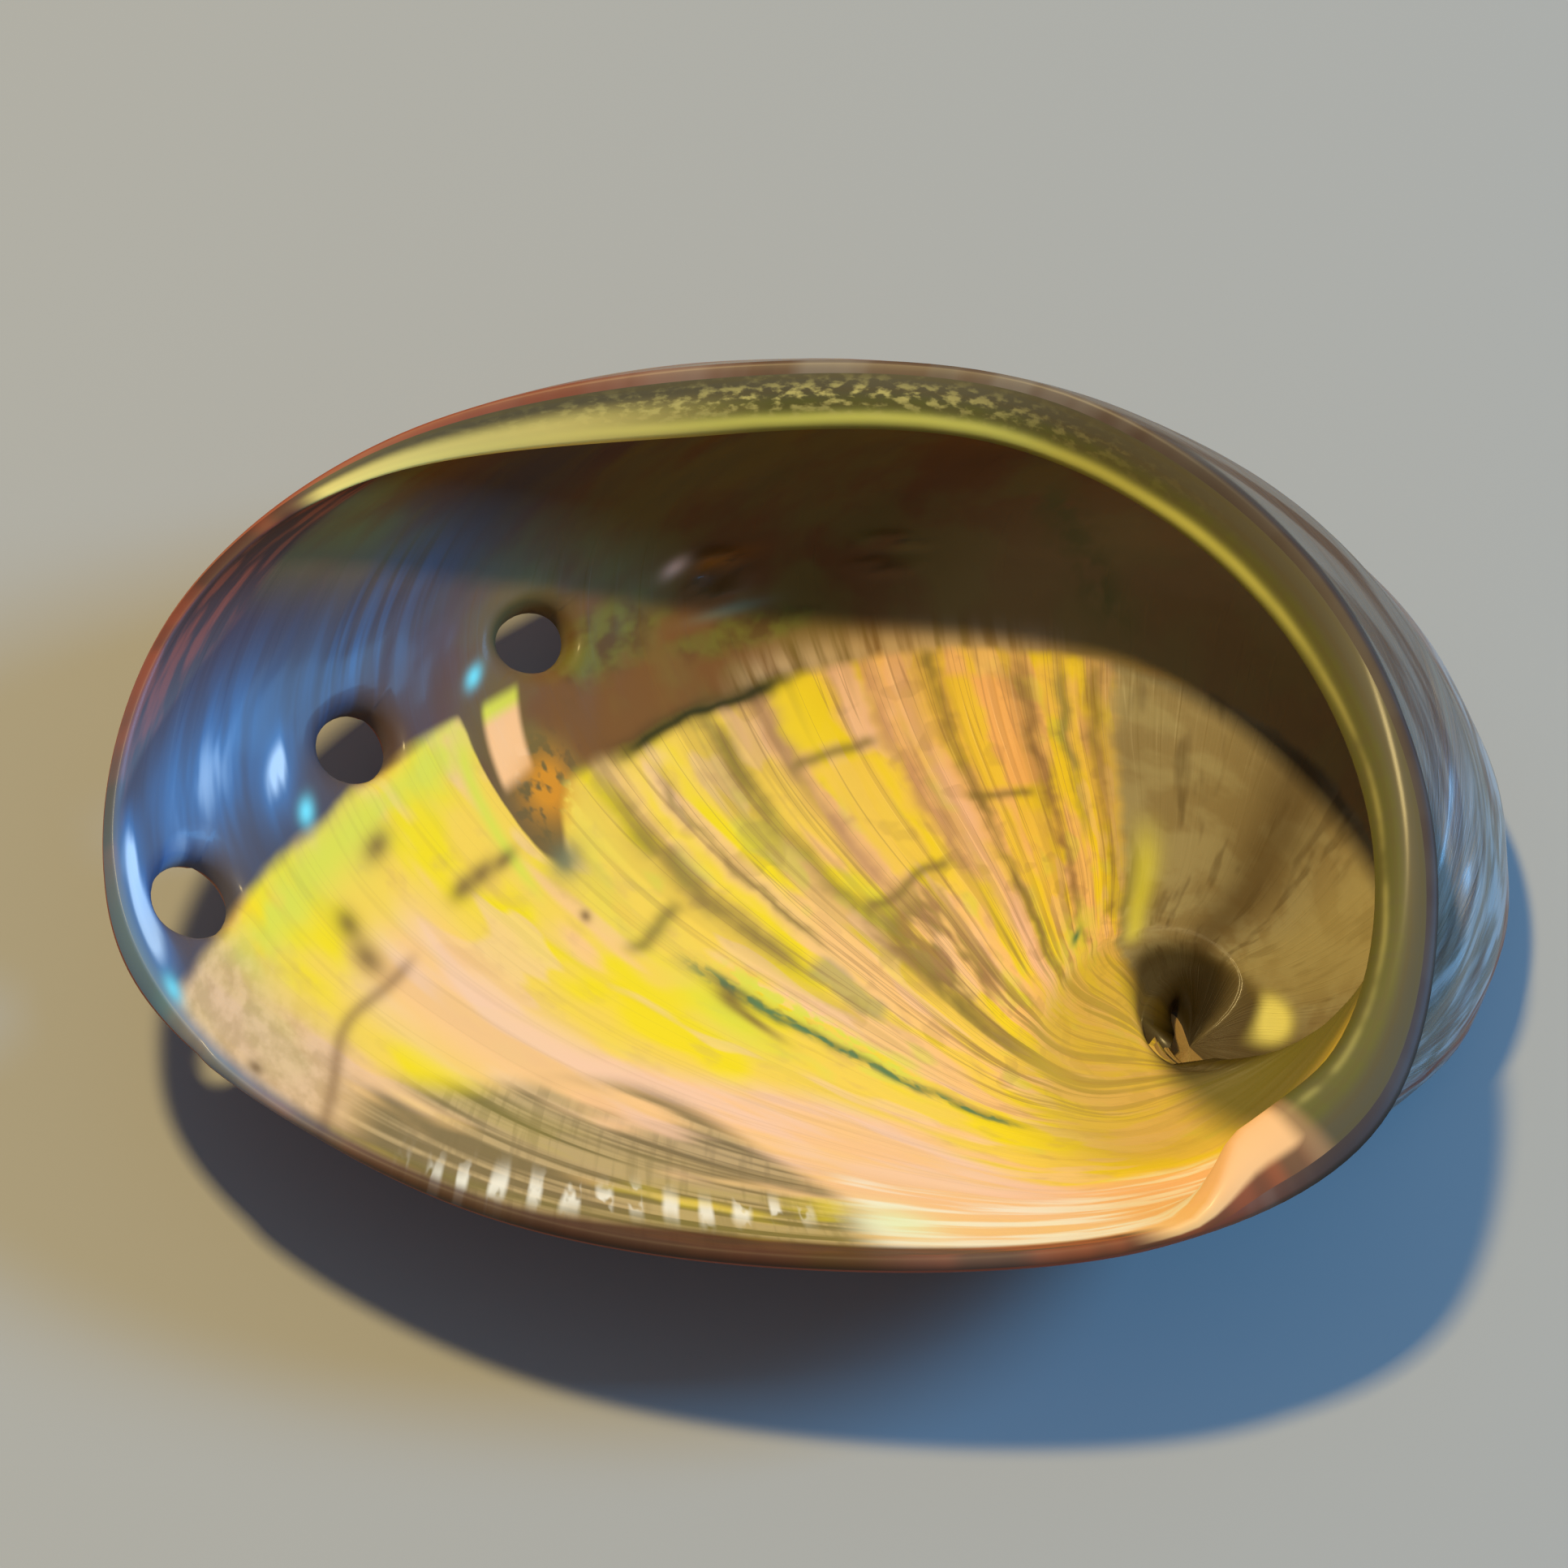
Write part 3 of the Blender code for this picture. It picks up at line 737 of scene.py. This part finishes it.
    # grey-beige bands beside the lower lip, with short pale ribs, then the fresh pink end
    bands_end = w.add(w.times(w.bell(share, 0.785, 0.062), 0.26), 0.06)
    in_bands = w.step(w.less(turn, bands_end), 0.03, -0.03)
    in_bands = w.times(in_bands, w.between(share, 0.728, 0.872, 0.012))
    band_lines = w.step(grain(1.1, 48.0, 13.0, 2.0, 0.6, of=straight), 0.42, 0.6)
    bands = w.blend(band_lines, BEIGE, DARK_BEIGE)
    cross_lines = w.step(grain(52.0, 5.0, 15.0, 2.0, of=straight), 0.48, 0.62)
    bands = cover(bands, cross_lines, 0.35, BEIGE_LINE)
    colour = cover(colour, w.times(in_bands, w.step(grain(2.8, 16.0, 61.0), 0.3, 0.5)), 0.9, bands)
    front_lip = w.times(w.step(turn, 0.16, 0.06), w.between(share, 0.875, 0.955, 0.01))
    front_mottle = w.step(grain(24.0, 44.0, 63.0, 3.0, of=straight), 0.36, 0.66)
    mottled_lip = w.blend(front_mottle, LIP_PINK, LIP_TAN)
    colour = cover(colour, front_lip, 0.85, mottled_lip)
    rib_wave = w.math("SINE", w.add(w.times(share, TURN * 112.0), w.times(grain(10.0, 5.0, 71.0), 6.0)))
    rib_place = w.add(w.times(w.less(0.83, share), 1.1), w.times(grain(14.0, 0.0, 75.0), 0.06))
    ribs = w.times(w.step(rib_wave, -0.3, 0.7), w.bell(turn, rib_place, 0.028))
    ribs = w.times(ribs, w.between(share, 0.748, 0.85, 0.012), w.step(grain(30.0, 20.0, 77.0), 0.42, 0.52))
    colour = cover(colour, ribs, 0.85, CREAM)
    fresh_end = w.mix(w.step(share, 0.62, 0.69), 0.5, 0.3)
    fresh_lip = w.step(w.less(turn, fresh_end), 0.05, -0.07)
    fresh_lip = w.times(fresh_lip, w.between(share, 0.59, 0.735, 0.008))
    fresh_colour = w.blend(w.step(grain(3.0, 40.0, 83.0), 0.45, 0.62), PEACH, CREAM)
    colour = cover(colour, fresh_lip, 0.85, fresh_colour)
    colour = cover(colour, spot(0.13, 0.725, 0.06, 0.01), 0.7, PALE_LIME)

    # the wall above the holes, in painted shade: brown under the shelf, mauve, then grey towards the front
    # where the lit floor ends and the painted shade of the wall begins, dropping into a notch of shadow by
    # the third hole
    drop = w.add(w.times(w.step(turn, 0.485, 0.53), 0.052), w.times(w.bell(turn, 0.545, 0.035), 0.026))
    ragged = w.times(w.less(grain(7.0, 9.0, 39.0), 0.5), 0.012)
    floor_edge = w.less(w.add(0.936, ragged), drop)
    above = w.step(w.less(share, floor_edge), -0.004, 0.005)
    wall_colour_and_shade = w.blend(w.step(grain(2.4, 7.0, 37.0, 3.0), 0.4, 0.62), WALL_SHADE_BROWN, WALL_SHADE_OLIVE)
    wall_colour_and_shade = cover(wall_colour_and_shade, w.step(turn, 1.0, 1.4), 0.5, WALL_SAND)
    wall_colour_and_shade = cover(wall_colour_and_shade, w.bell(turn, 0.40, 0.13), 0.75, WALL_SHADE_MAUVE)
    past_edge = w.add(turn, w.times(w.less(share, 0.93), 3.2))
    green_stripe = w.times(w.bell(past_edge, 1.51, 0.05), w.between(share, 0.915, 1.04, 0.02))
    green_stripe = w.times(green_stripe, w.step(grain(5.0, 20.0, 43.0), 0.35, 0.6))
    wall_colour_and_shade = cover(wall_colour_and_shade, green_stripe, 0.6, MOSS)
    # painted shadow: mottled olive and brown patches in the shade past the third hole
    notch_shadow_patch = w.most(spot(0.70, 0.938, 0.08, 0.022), spot(0.92, 0.915, 0.12, 0.012))
    notch_shadow_edge = w.step(w.add(notch_shadow_patch, w.times(w.less(grain(12.0, 22.0, 46.0), 0.5), 0.8)), 0.2, 0.8)
    notch_shadow_colour = w.blend(w.step(grain(11.0, 26.0, 45.0), 0.36, 0.66), NOTCH_SHADOW_OLIVE, NOTCH_SHADOW_BROWN)
    wall_colour_and_shade = cover(wall_colour_and_shade, notch_shadow_edge, 0.75, notch_shadow_colour)
    ledge = w.times(w.bell(share, 0.888, 0.012), w.between(turn, 0.92, 1.5, 0.06))
    ledge_lines = w.step(grain(1.5, 36.0, 49.0, 3.0), 0.36, 0.6)
    wall_colour_and_shade = cover(wall_colour_and_shade, w.times(ledge, ledge_lines), 0.85, LEDGE_BEIGE)
    # painted light: a peach and lime patch where light through the third hole falls in the notch of shade
    lit_strip = w.times(w.between(turn, 0.522, 0.572, 0.006), w.between(share, 0.896, 0.934, 0.004))
    hole_light_colour = w.blend(w.step(share, 0.922, 0.93), PEACH, LIME)
    wall_colour_and_shade = cover(wall_colour_and_shade, lit_strip, 1.0, hole_light_colour)
    wall_colour_and_shade = cover(wall_colour_and_shade, spot(0.89, 0.93, 0.05, 0.004), 0.6, SAGE)
    # painted shade: the front of the wall grey and mauve
    front = w.step(w.add(turn, w.times(w.step(share, 1.0, 1.09), 0.3)), 0.5, 0.28)
    front_colour = w.blend(w.step(share, 0.995, 1.06), FRONT_SHADE_GREY, WALL_SHADE_MAUVE)
    wall_colour_and_shade = cover(wall_colour_and_shade, front, 0.95, front_colour)
    # painted reflections of the cool lamp: blue and white gleams along the front of the wall
    lip_gleam = w.times(w.bell(turn, 0.02, 0.02), w.between(share, 0.945, 1.0, 0.015), 1.1)
    far_gleam = w.times(spot(0.33, 1.0, 0.07, 0.03), w.step(grain(1.0, 40.0, 47.0), 0.42, 0.6), 0.4)
    soft_gleam = w.times(w.most(spot(0.13, 0.99, 0.08, 0.035), spot(0.1, 0.97, 0.06, 0.02)), 0.8)
    gleam = w.add(soft_gleam, w.times(spot(0.235, 0.965, 0.022, 0.016), 1.3), lip_gleam, far_gleam)
    gleam = w.times(gleam, w.mix(w.step(grain(2.2, 30.0, 59.0), 0.35, 0.6), 0.5, 1.05))
    pearl_and_gleam = w.blend(w.step(gleam, 0.5, 1.1), GLEAM_BLUE, GLEAM_WHITE)
    wall_colour_and_shade = cover(wall_colour_and_shade, w.least(gleam, 1.0), 1.0, pearl_and_gleam)
    # painted shade: darker brown in the funnel round each open hole
    for hole in range(OPEN_HOLES):
        hole_turn = (hole + FIRST_HOLE) * SIZES["Hole Spacing"]
        hole_shade = spot(hole_turn, SIZES["Hole Row"], 0.062, 0.017)
        wall_colour_and_shade = cover(wall_colour_and_shade, hole_shade, 0.8, HOLE_SHADE_BROWN)
    colour = w.blend(above, colour, wall_colour_and_shade)
    edge_line = w.times(w.bell(w.less(share, floor_edge), 0.0, 0.0045), w.between(turn, 0.7, 1.0, 0.05))
    colour = cover(colour, edge_line, 0.95, EDGE_DARK)
    # painted light: a lime line along the lit side of the notch of shade
    lit_side = w.times(w.bell(turn, 0.483, 0.01), w.between(share, 0.862, 0.925, 0.01))
    colour = cover(colour, lit_side, 0.9, LIME)
    # painted highlights: a cyan glint at the lower side of each open hole
    for hole in range(OPEN_HOLES):
        glint_turn = (hole + FIRST_HOLE) * SIZES["Hole Spacing"] - 0.085
        glint_share = SIZES["Hole Row"] - 0.016 + 0.006 * hole
        colour = cover(colour, spot(glint_turn, glint_share, 0.011, 0.0055), 1.0, GLINT_CYAN)

    # single marks: the healed hole, pits, a wrinkle and a speckled pool of painted light below the third
    # hole
    colour = cover(colour, spot(0.84, 0.966, 0.045, 0.006), 0.9, HEALED_AMBER)
    colour = cover(colour, spot(0.775, 0.967, 0.016, 0.006), 1.0, PINK)
    for mark_turn, mark_share, turn_radius, share_radius in MARKS:
        mark = spot(mark_turn, mark_share, turn_radius, share_radius)
        colour = cover(colour, mark, 0.75, MARK_BROWN)
    wrinkle = w.add(0.8765, w.times(w.bell(turn, 0.14, 0.07), 0.006))
    wrinkle = w.times(w.bell(w.less(share, wrinkle), 0.0, 0.0024), w.step(turn, 0.3, 0.24))
    colour = cover(colour, wrinkle, 0.6, UMBER)
    # painted light: amber specks where light through the third hole falls
    hole_light_specks = w.times(spot(0.58, 0.887, 0.035, 0.012), w.step(grain(20.0, 50.0, 73.0), 0.36, 0.5), 1.4)
    colour = cover(colour, hole_light_specks, 0.9, LIT_AMBER)
    colour = cover(colour, spot(0.55, 0.861, 0.03, 0.006), 0.8, GREY_GREEN)

    # the shelf, worn smooth: brown outside, a pale crest line, then olive down to the wall, with painted
    # shade and highlights
    on_shelf = w.times(w.between(wrapped, 0.135, 0.612, 0.008), w.step(turn, 0.09, 0.02))
    across = w.add(depth, w.times(w.less(grain(3.0, 0.0, 87.0), 0.5), 0.12))
    shelf_colour = w.blend(w.step(across, 0.45, 0.65), SHELF_BROWN, SHELF_OLIVE)
    # painted shade: the outer edge of the shelf dark, in the groove beside it
    shelf_colour = cover(shelf_colour, w.step(across, 0.22, 0.08), 0.85, SHELF_GROOVE_SHADE)
    shelf_mottle = w.step(grain(22.0, 0.0, 89.0, 3.0), 0.45, 0.62)
    shelf_colour = cover(shelf_colour, shelf_mottle, 0.3, SHELF_MOTTLE)
    shelf_stripe = w.step(w.math("SINE", w.times(across, 30.0)), 0.2, 0.9)
    shelf_colour = cover(shelf_colour, shelf_stripe, 0.25, SHELF_STRIPE)
    # painted highlights: a lime line by the inner edge towards the front, and a pale crest line
    front_part = w.step(wrapped, 0.48, 0.38)
    inner_highlight = w.times(w.bell(across, 0.86, 0.09), front_part)
    crest_highlight = w.times(w.bell(across, 0.85, 0.05), w.step(grain(8.0, 0.0, 95.0), 0.25, 0.6))
    shelf_colour = cover(shelf_colour, crest_highlight, 0.75, SHELF_CREST_HIGHLIGHT)
    shelf_colour = cover(shelf_colour, inner_highlight, 0.85, SHELF_HIGHLIGHT_LIME)
    # painted highlight: a speckled bright band across the top of the shelf
    speckles = w.vector(w.times(wrapped, 260.0), w.times(across, 9.0), 0.0)
    speckles = w.node("ShaderNodeTexNoise", {"Vector": speckles, "Scale": 1.0, "Detail": 3.0})
    middle_highlight = w.times(w.bell(wrapped, 0.27, 0.06), w.bell(across, 0.55, 0.2))
    middle_highlight = w.times(middle_highlight, w.step(speckles.outputs[0], 0.46, 0.66))
    shelf_colour = cover(shelf_colour, middle_highlight, 0.8, SHELF_SPARK_HIGHLIGHT)
    young_end = w.times(w.step(wrapped, 0.27, 0.2), w.step(across, 0.35, 0.7))
    shelf_colour = cover(shelf_colour, young_end, 0.85, SHELF_YOUNG)
    colour = w.blend(on_shelf, colour, shelf_colour)

    # the red outer layer shows as a rim beyond the nacre, broad below and at the upper front
    low_rim = w.times(w.between(share, 0.65, 0.80, 0.03), 0.028)
    high_rim = w.times(w.between(wrapped, 0.035, 0.14, 0.025), 0.10)
    rim_reach = w.add(0.008, low_rim, high_rim)
    lip_end = w.times(w.between(share, 0.612, 0.67, 0.008), w.step(depth, 0.4, 0.55))
    rim = w.times(w.step(w.less(turn, rim_reach), 0.012, -0.012), w.rest(w.most(on_shelf, lip_end)))
    rim_colour = w.blend(w.step(grain(6.0, 60.0, 97.0, of=straight), 0.36, 0.6), RIM_RED, RIM_DARK)
    # painted sheen: the rim's front end blue with the cool lamp's light
    front_end = w.bell(w.math("FRACT", w.add(share, 0.55)), 0.5, 0.08)
    rim_colour = cover(rim_colour, front_end, 1.0, RIM_COOL_SHEEN)
    # painted shade: the rim dark on the shelf side, in the groove
    rim_colour = cover(rim_colour, w.between(wrapped, 0.36, 0.57, 0.03), 0.95, RIM_GROOVE_SHADE)
    # painted shade: the lower rim darker, turned down away from the lamps
    rim_colour = cover(rim_colour, w.between(share, 0.72, 0.88, 0.03), 0.9, RIM_LOW_SHADE)
    colour = cover(colour, rim, 0.94, rim_colour)

    dull = w.most(above, on_shelf, rim, w.step(share, 0.7, 0.62))
    satin = w.times(grain(2.0, 24.0, 101.0), 0.2)
    lines = grain(0.8, 70.0, 97.0, 3.0, 0.6)
    tree.links.new(colour, result["Colour"])
    tree.links.new(w.add(0.26, satin, w.times(dull, 0.16)), result["Roughness"])
    tree.links.new(w.less(0.24, w.times(dull, 0.18)), result["Coat"])
    tree.links.new(w.add(w.times(lines, 0.6), w.times(fine_streaks, 0.4)), result["Lines"])
    return tree


def dress(material, pattern_tree, line_height):
    """Wires a painted pattern to a material's shader, and gives back the shader."""
    material.use_nodes = True
    w = Wiring(material.node_tree)
    shader = material.node_tree.nodes["Principled BSDF"]
    growth = w.node("ShaderNodeAttribute", attribute_name="growth").outputs["Vector"]
    pattern = w.node("ShaderNodeGroup", node_tree=pattern_tree)
    bump = w.node("ShaderNodeBump", {"Height": pattern.outputs["Lines"], "Distance": line_height})
    links = material.node_tree.links
    links.new(growth, pattern.inputs["Growth"])
    links.new(pattern.outputs["Colour"], shader.inputs["Base Color"])
    links.new(pattern.outputs["Roughness"], shader.inputs["Roughness"])
    links.new(pattern.outputs["Coat"], shader.inputs["Coat Weight"])
    links.new(bump.outputs["Normal"], shader.inputs["Normal"])
    return shader


nacre_material = bpy.data.materials.new("nacre")
nacre_shader = dress(nacre_material, make_nacre_pattern(), NACRE_LINES)
nacre_shader.inputs["Specular IOR Level"].default_value = 0.2
nacre_shader.inputs["Coat Roughness"].default_value = 0.15

# The outer layer: chalky and red-brown with paler rays where it is young, worn down to a grey
# pearly gloss over the old spire and on the side that the shelf backs on to.

RED_BROWN = paint(150, 72, 44)
RUST = paint(176, 108, 74)
BUFF = paint(190, 168, 136)
GREY_BROWN = paint(84, 68, 46)
SLATE = paint(122, 114, 98)
WORN_PEARL = paint(180, 182, 178)
GROOVE_SHADE_BROWN = paint(62, 44, 32)
DARK_RED = paint(110, 60, 42)
DULL_BROWN = paint(98, 84, 66)
OUTER_LINES = 0.00008


def make_outer_pattern():
    """The group that paints the outside: colour, roughness and the height of its growth lines."""
    tree, w, given, result = new_pattern("outer shell pattern", 0.4, 0.2)
    turn, share, _ = w.parts(given["Growth"])
    tube = w.on_tube(turn, share)
    wrapped = w.math("FRACT", w.add(share, 1.0))
    cover = w.cover

    def grain(along_lip, along_turn, seed=0.0, detail=2.0, roughness=0.5):
        return w.grain(tube, along_lip, along_turn, seed, detail, roughness)

    # old lips in two reds, with buff rays and darker flecks
    old_lips = grain(0.6, 30.0, 3.0, 3.0, 0.6)
    colour = w.blend(w.step(old_lips, 0.4, 0.6), RED_BROWN, RUST)
    colour = cover(colour, w.step(grain(1.2, 9.0, 11.0), 0.56, 0.66), 0.7, BUFF)
    colour = cover(colour, w.step(grain(9.0, 2.0, 17.0), 0.55, 0.65), 0.5, DARK_RED)

    # the shelf side, grey and striped along the spiral, with painted shade in the groove beside the shelf
    shelf_side = w.times(w.step(wrapped, 0.14, 0.28), w.step(wrapped, 0.7, 0.6))
    side_colour = w.blend(w.step(grain(8.0, 1.5, 23.0), 0.42, 0.6), GREY_BROWN, SLATE)
    side_colour = cover(side_colour, w.step(old_lips, 0.5, 0.64), 0.4, DULL_BROWN)
    colour = cover(colour, shelf_side, 0.88, side_colour)

    # worn patches of pearl on the older turns
    worn = w.times(w.step(turn, 0.7, 1.8), w.step(grain(2.6, 3.0, 29.0, 3.0), 0.3, 0.56))
    pearl_and_gleam = w.blend(w.step(grain(5.0, 6.0, 31.0), 0.4, 0.62), SLATE, WORN_PEARL)
    colour = cover(colour, worn, 0.8, pearl_and_gleam)
    rim = w.times(w.step(turn, 0.03, 0.0), w.rest(shelf_side))
    colour = cover(colour, rim, 0.8, RIM_RED)
    # painted shade: the groove beside the shelf dark brown
    groove_reach = w.add(0.07, w.times(w.bell(wrapped, 0.57, 0.07), 0.2))
    groove = w.step(w.less(turn, groove_reach), 0.03, -0.03)
    groove = w.times(groove, w.between(wrapped, 0.36, 0.63, 0.03))
    colour = cover(colour, groove, 0.9, GROOVE_SHADE_BROWN)
    gloss = w.times(w.most(worn, w.times(shelf_side, 0.7)), w.rest(groove))
    tree.links.new(colour, result["Colour"])
    tree.links.new(w.mix(gloss, 0.6, 0.28), result["Roughness"])
    tree.links.new(w.times(gloss, 0.6), result["Coat"])
    tree.links.new(grain(0.8, 60.0, 37.0, 3.0, 0.6), result["Lines"])
    return tree


outer_material = bpy.data.materials.new("outer shell")
outer_shader = dress(outer_material, make_outer_pattern(), OUTER_LINES)
outer_shader.inputs["Coat Roughness"].default_value = 0.16

# The grown shell: one piece of mesh, tipped to the angle at which it settles on its round back, and
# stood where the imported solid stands. It takes the solid's place and rides on the only body.

REST_TILT = Euler((math.radians(7.165), math.radians(-2.808), 0.0))

growing = bpy.data.objects.new("growing shell", bpy.data.meshes.new("growing shell"))
bpy.context.scene.collection.objects.link(growing)
bpy.context.scene.collection.objects.link(lip_ring)
shell_tree = make_shell_tree()
growth = growing.modifiers.new("growth", "NODES")
growth.node_group = shell_tree
given_values = {**SIZES, "Lip": lip_ring, "Outer": outer_material, "Nacre": nacre_material}
for socket in shell_tree.interface.items_tree:
    if socket.in_out == "INPUT":
        growth[socket.identifier] = given_values[socket.name]
evaluated = growing.evaluated_get(bpy.context.evaluated_depsgraph_get())
shell_mesh = bpy.data.meshes.new_from_object(evaluated)
growing.modifiers.remove(growth)
bpy.data.objects.remove(growing)
bpy.data.objects.remove(lip_ring)

shell_mesh.name = "shell"
shell_mesh.transform(REST_TILT.to_matrix().to_4x4() @ Matrix.Scale(MM, 4))
corners = np.empty(len(shell_mesh.vertices) * 3)
shell_mesh.vertices.foreach_get("co", corners)
corners = corners.reshape(-1, 3)
solid_low, solid_high = (Vector(corner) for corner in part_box("shell"))
grown_low, grown_high = Vector(corners.min(axis=0)), Vector(corners.max(axis=0))
to_solid = (solid_low + solid_high) / 2.0 - (grown_low + grown_high) / 2.0
to_solid.z = solid_low.z - grown_low.z
shell_mesh.transform(Matrix.Translation(to_solid))

abalone = bpy.data.objects.new("abalone_shell", shell_mesh)
bpy.context.scene.collection.objects.link(abalone)
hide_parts("shell")
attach(abalone, "root")

# The studio: a plain pale sheet under the shell, a warm lamp high at the upper left and a larger,
# cool one lower at the right. Their two shadows have the colours of the photograph's.

FLOOR_HALF = 3.0
FLOOR_COLOUR = (0.38, 0.38, 0.375, 1.0)
WARM = (1.0, 0.76, 0.32)
COOL = (0.15, 0.5, 1.0)
SKY = (0.7, 0.82, 1.0, 1.0)
SKY_STRENGTH = 0.24

floor_corners = [(-FLOOR_HALF, -FLOOR_HALF, 0.0), (FLOOR_HALF, -FLOOR_HALF, 0.0)]
floor_corners += [(FLOOR_HALF, FLOOR_HALF, 0.0), (-FLOOR_HALF, FLOOR_HALF, 0.0)]
floor_mesh = bpy.data.meshes.new("floor")
floor_mesh.from_pydata(floor_corners, [], [(0, 1, 2, 3)])
floor_material = bpy.data.materials.new("floor")
floor_material.use_nodes = True
floor_shader = floor_material.node_tree.nodes["Principled BSDF"]
floor_shader.inputs["Base Color"].default_value = FLOOR_COLOUR
floor_shader.inputs["Roughness"].default_value = 0.6
floor_mesh.materials.append(floor_material)
floor = bpy.data.objects.new("floor", floor_mesh)
bpy.context.scene.collection.objects.link(floor)


def light(name, azimuth, elevation, size, power, colour):
    """A square lamp a metre from the shell, so many degrees round from +X and up from the floor."""
    lamp = bpy.data.lights.new(name, "AREA")
    lamp.size = size
    lamp.energy = power
    lamp.color = colour
    turned = Euler((0.0, math.radians(-elevation), math.radians(azimuth)))
    way = turned.to_matrix() @ Vector((1.0, 0.0, 0.0))
    lamp_object = bpy.data.objects.new(name, lamp)
    lamp_object.location = way
    lamp_object.rotation_euler = (-way).to_track_quat("-Z", "Y").to_euler()
    bpy.context.scene.collection.objects.link(lamp_object)


light("warm key", azimuth=132, elevation=67, size=0.09, power=8.2, colour=WARM)
light("cool side", azimuth=10, elevation=34, size=0.3, power=9.0, colour=COOL)
bpy.context.scene.view_settings.view_transform = "Standard"
world = bpy.data.worlds.new("studio")
world.use_nodes = True
world.node_tree.nodes["Background"].inputs["Color"].default_value = SKY
world.node_tree.nodes["Background"].inputs["Strength"].default_value = SKY_STRENGTH
bpy.context.scene.world = world

# The camera: square to the lip from left to right and 65 degrees above it, as in the photograph,
# turned with the shell as it rests. Its lens and aim come from where the lip lies in the picture.

IMAGE = 1932
PIXELS_PER_MM = 25.0
LIP_ORIGIN_PIXEL = (1005.0, 990.0)
CAMERA_ABOVE_LIP = math.radians(65.0)
CAMERA_DISTANCE = 0.55
SENSOR = 36.0

camera_data = bpy.data.cameras.new("camera")
camera = bpy.data.objects.new("camera", camera_data)
bpy.context.scene.collection.objects.link(camera)
right = Vector((1.0, 0.0, 0.0))
up = Vector((0.0, math.sin(CAMERA_ABOVE_LIP), math.cos(CAMERA_ABOVE_LIP)))
look = Vector((0.0, -math.cos(CAMERA_ABOVE_LIP), math.sin(CAMERA_ABOVE_LIP)))
axes = Matrix((right, up, look)).transposed().to_4x4()
metres_to_pixel = MM / PIXELS_PER_MM
off_x = (IMAGE / 2.0 - LIP_ORIGIN_PIXEL[0]) * metres_to_pixel
off_y = (LIP_ORIGIN_PIXEL[1] - IMAGE / 2.0) * metres_to_pixel
aim = right * off_x + up * off_y + look * CAMERA_DISTANCE
as_it_rests = Matrix.Translation(to_solid) @ REST_TILT.to_matrix().to_4x4()
camera.matrix_world = as_it_rests @ Matrix.Translation(aim) @ axes
camera_data.sensor_width = SENSOR
camera_data.lens = SENSOR * CAMERA_DISTANCE / (IMAGE * metres_to_pixel)
bpy.context.scene.camera = camera
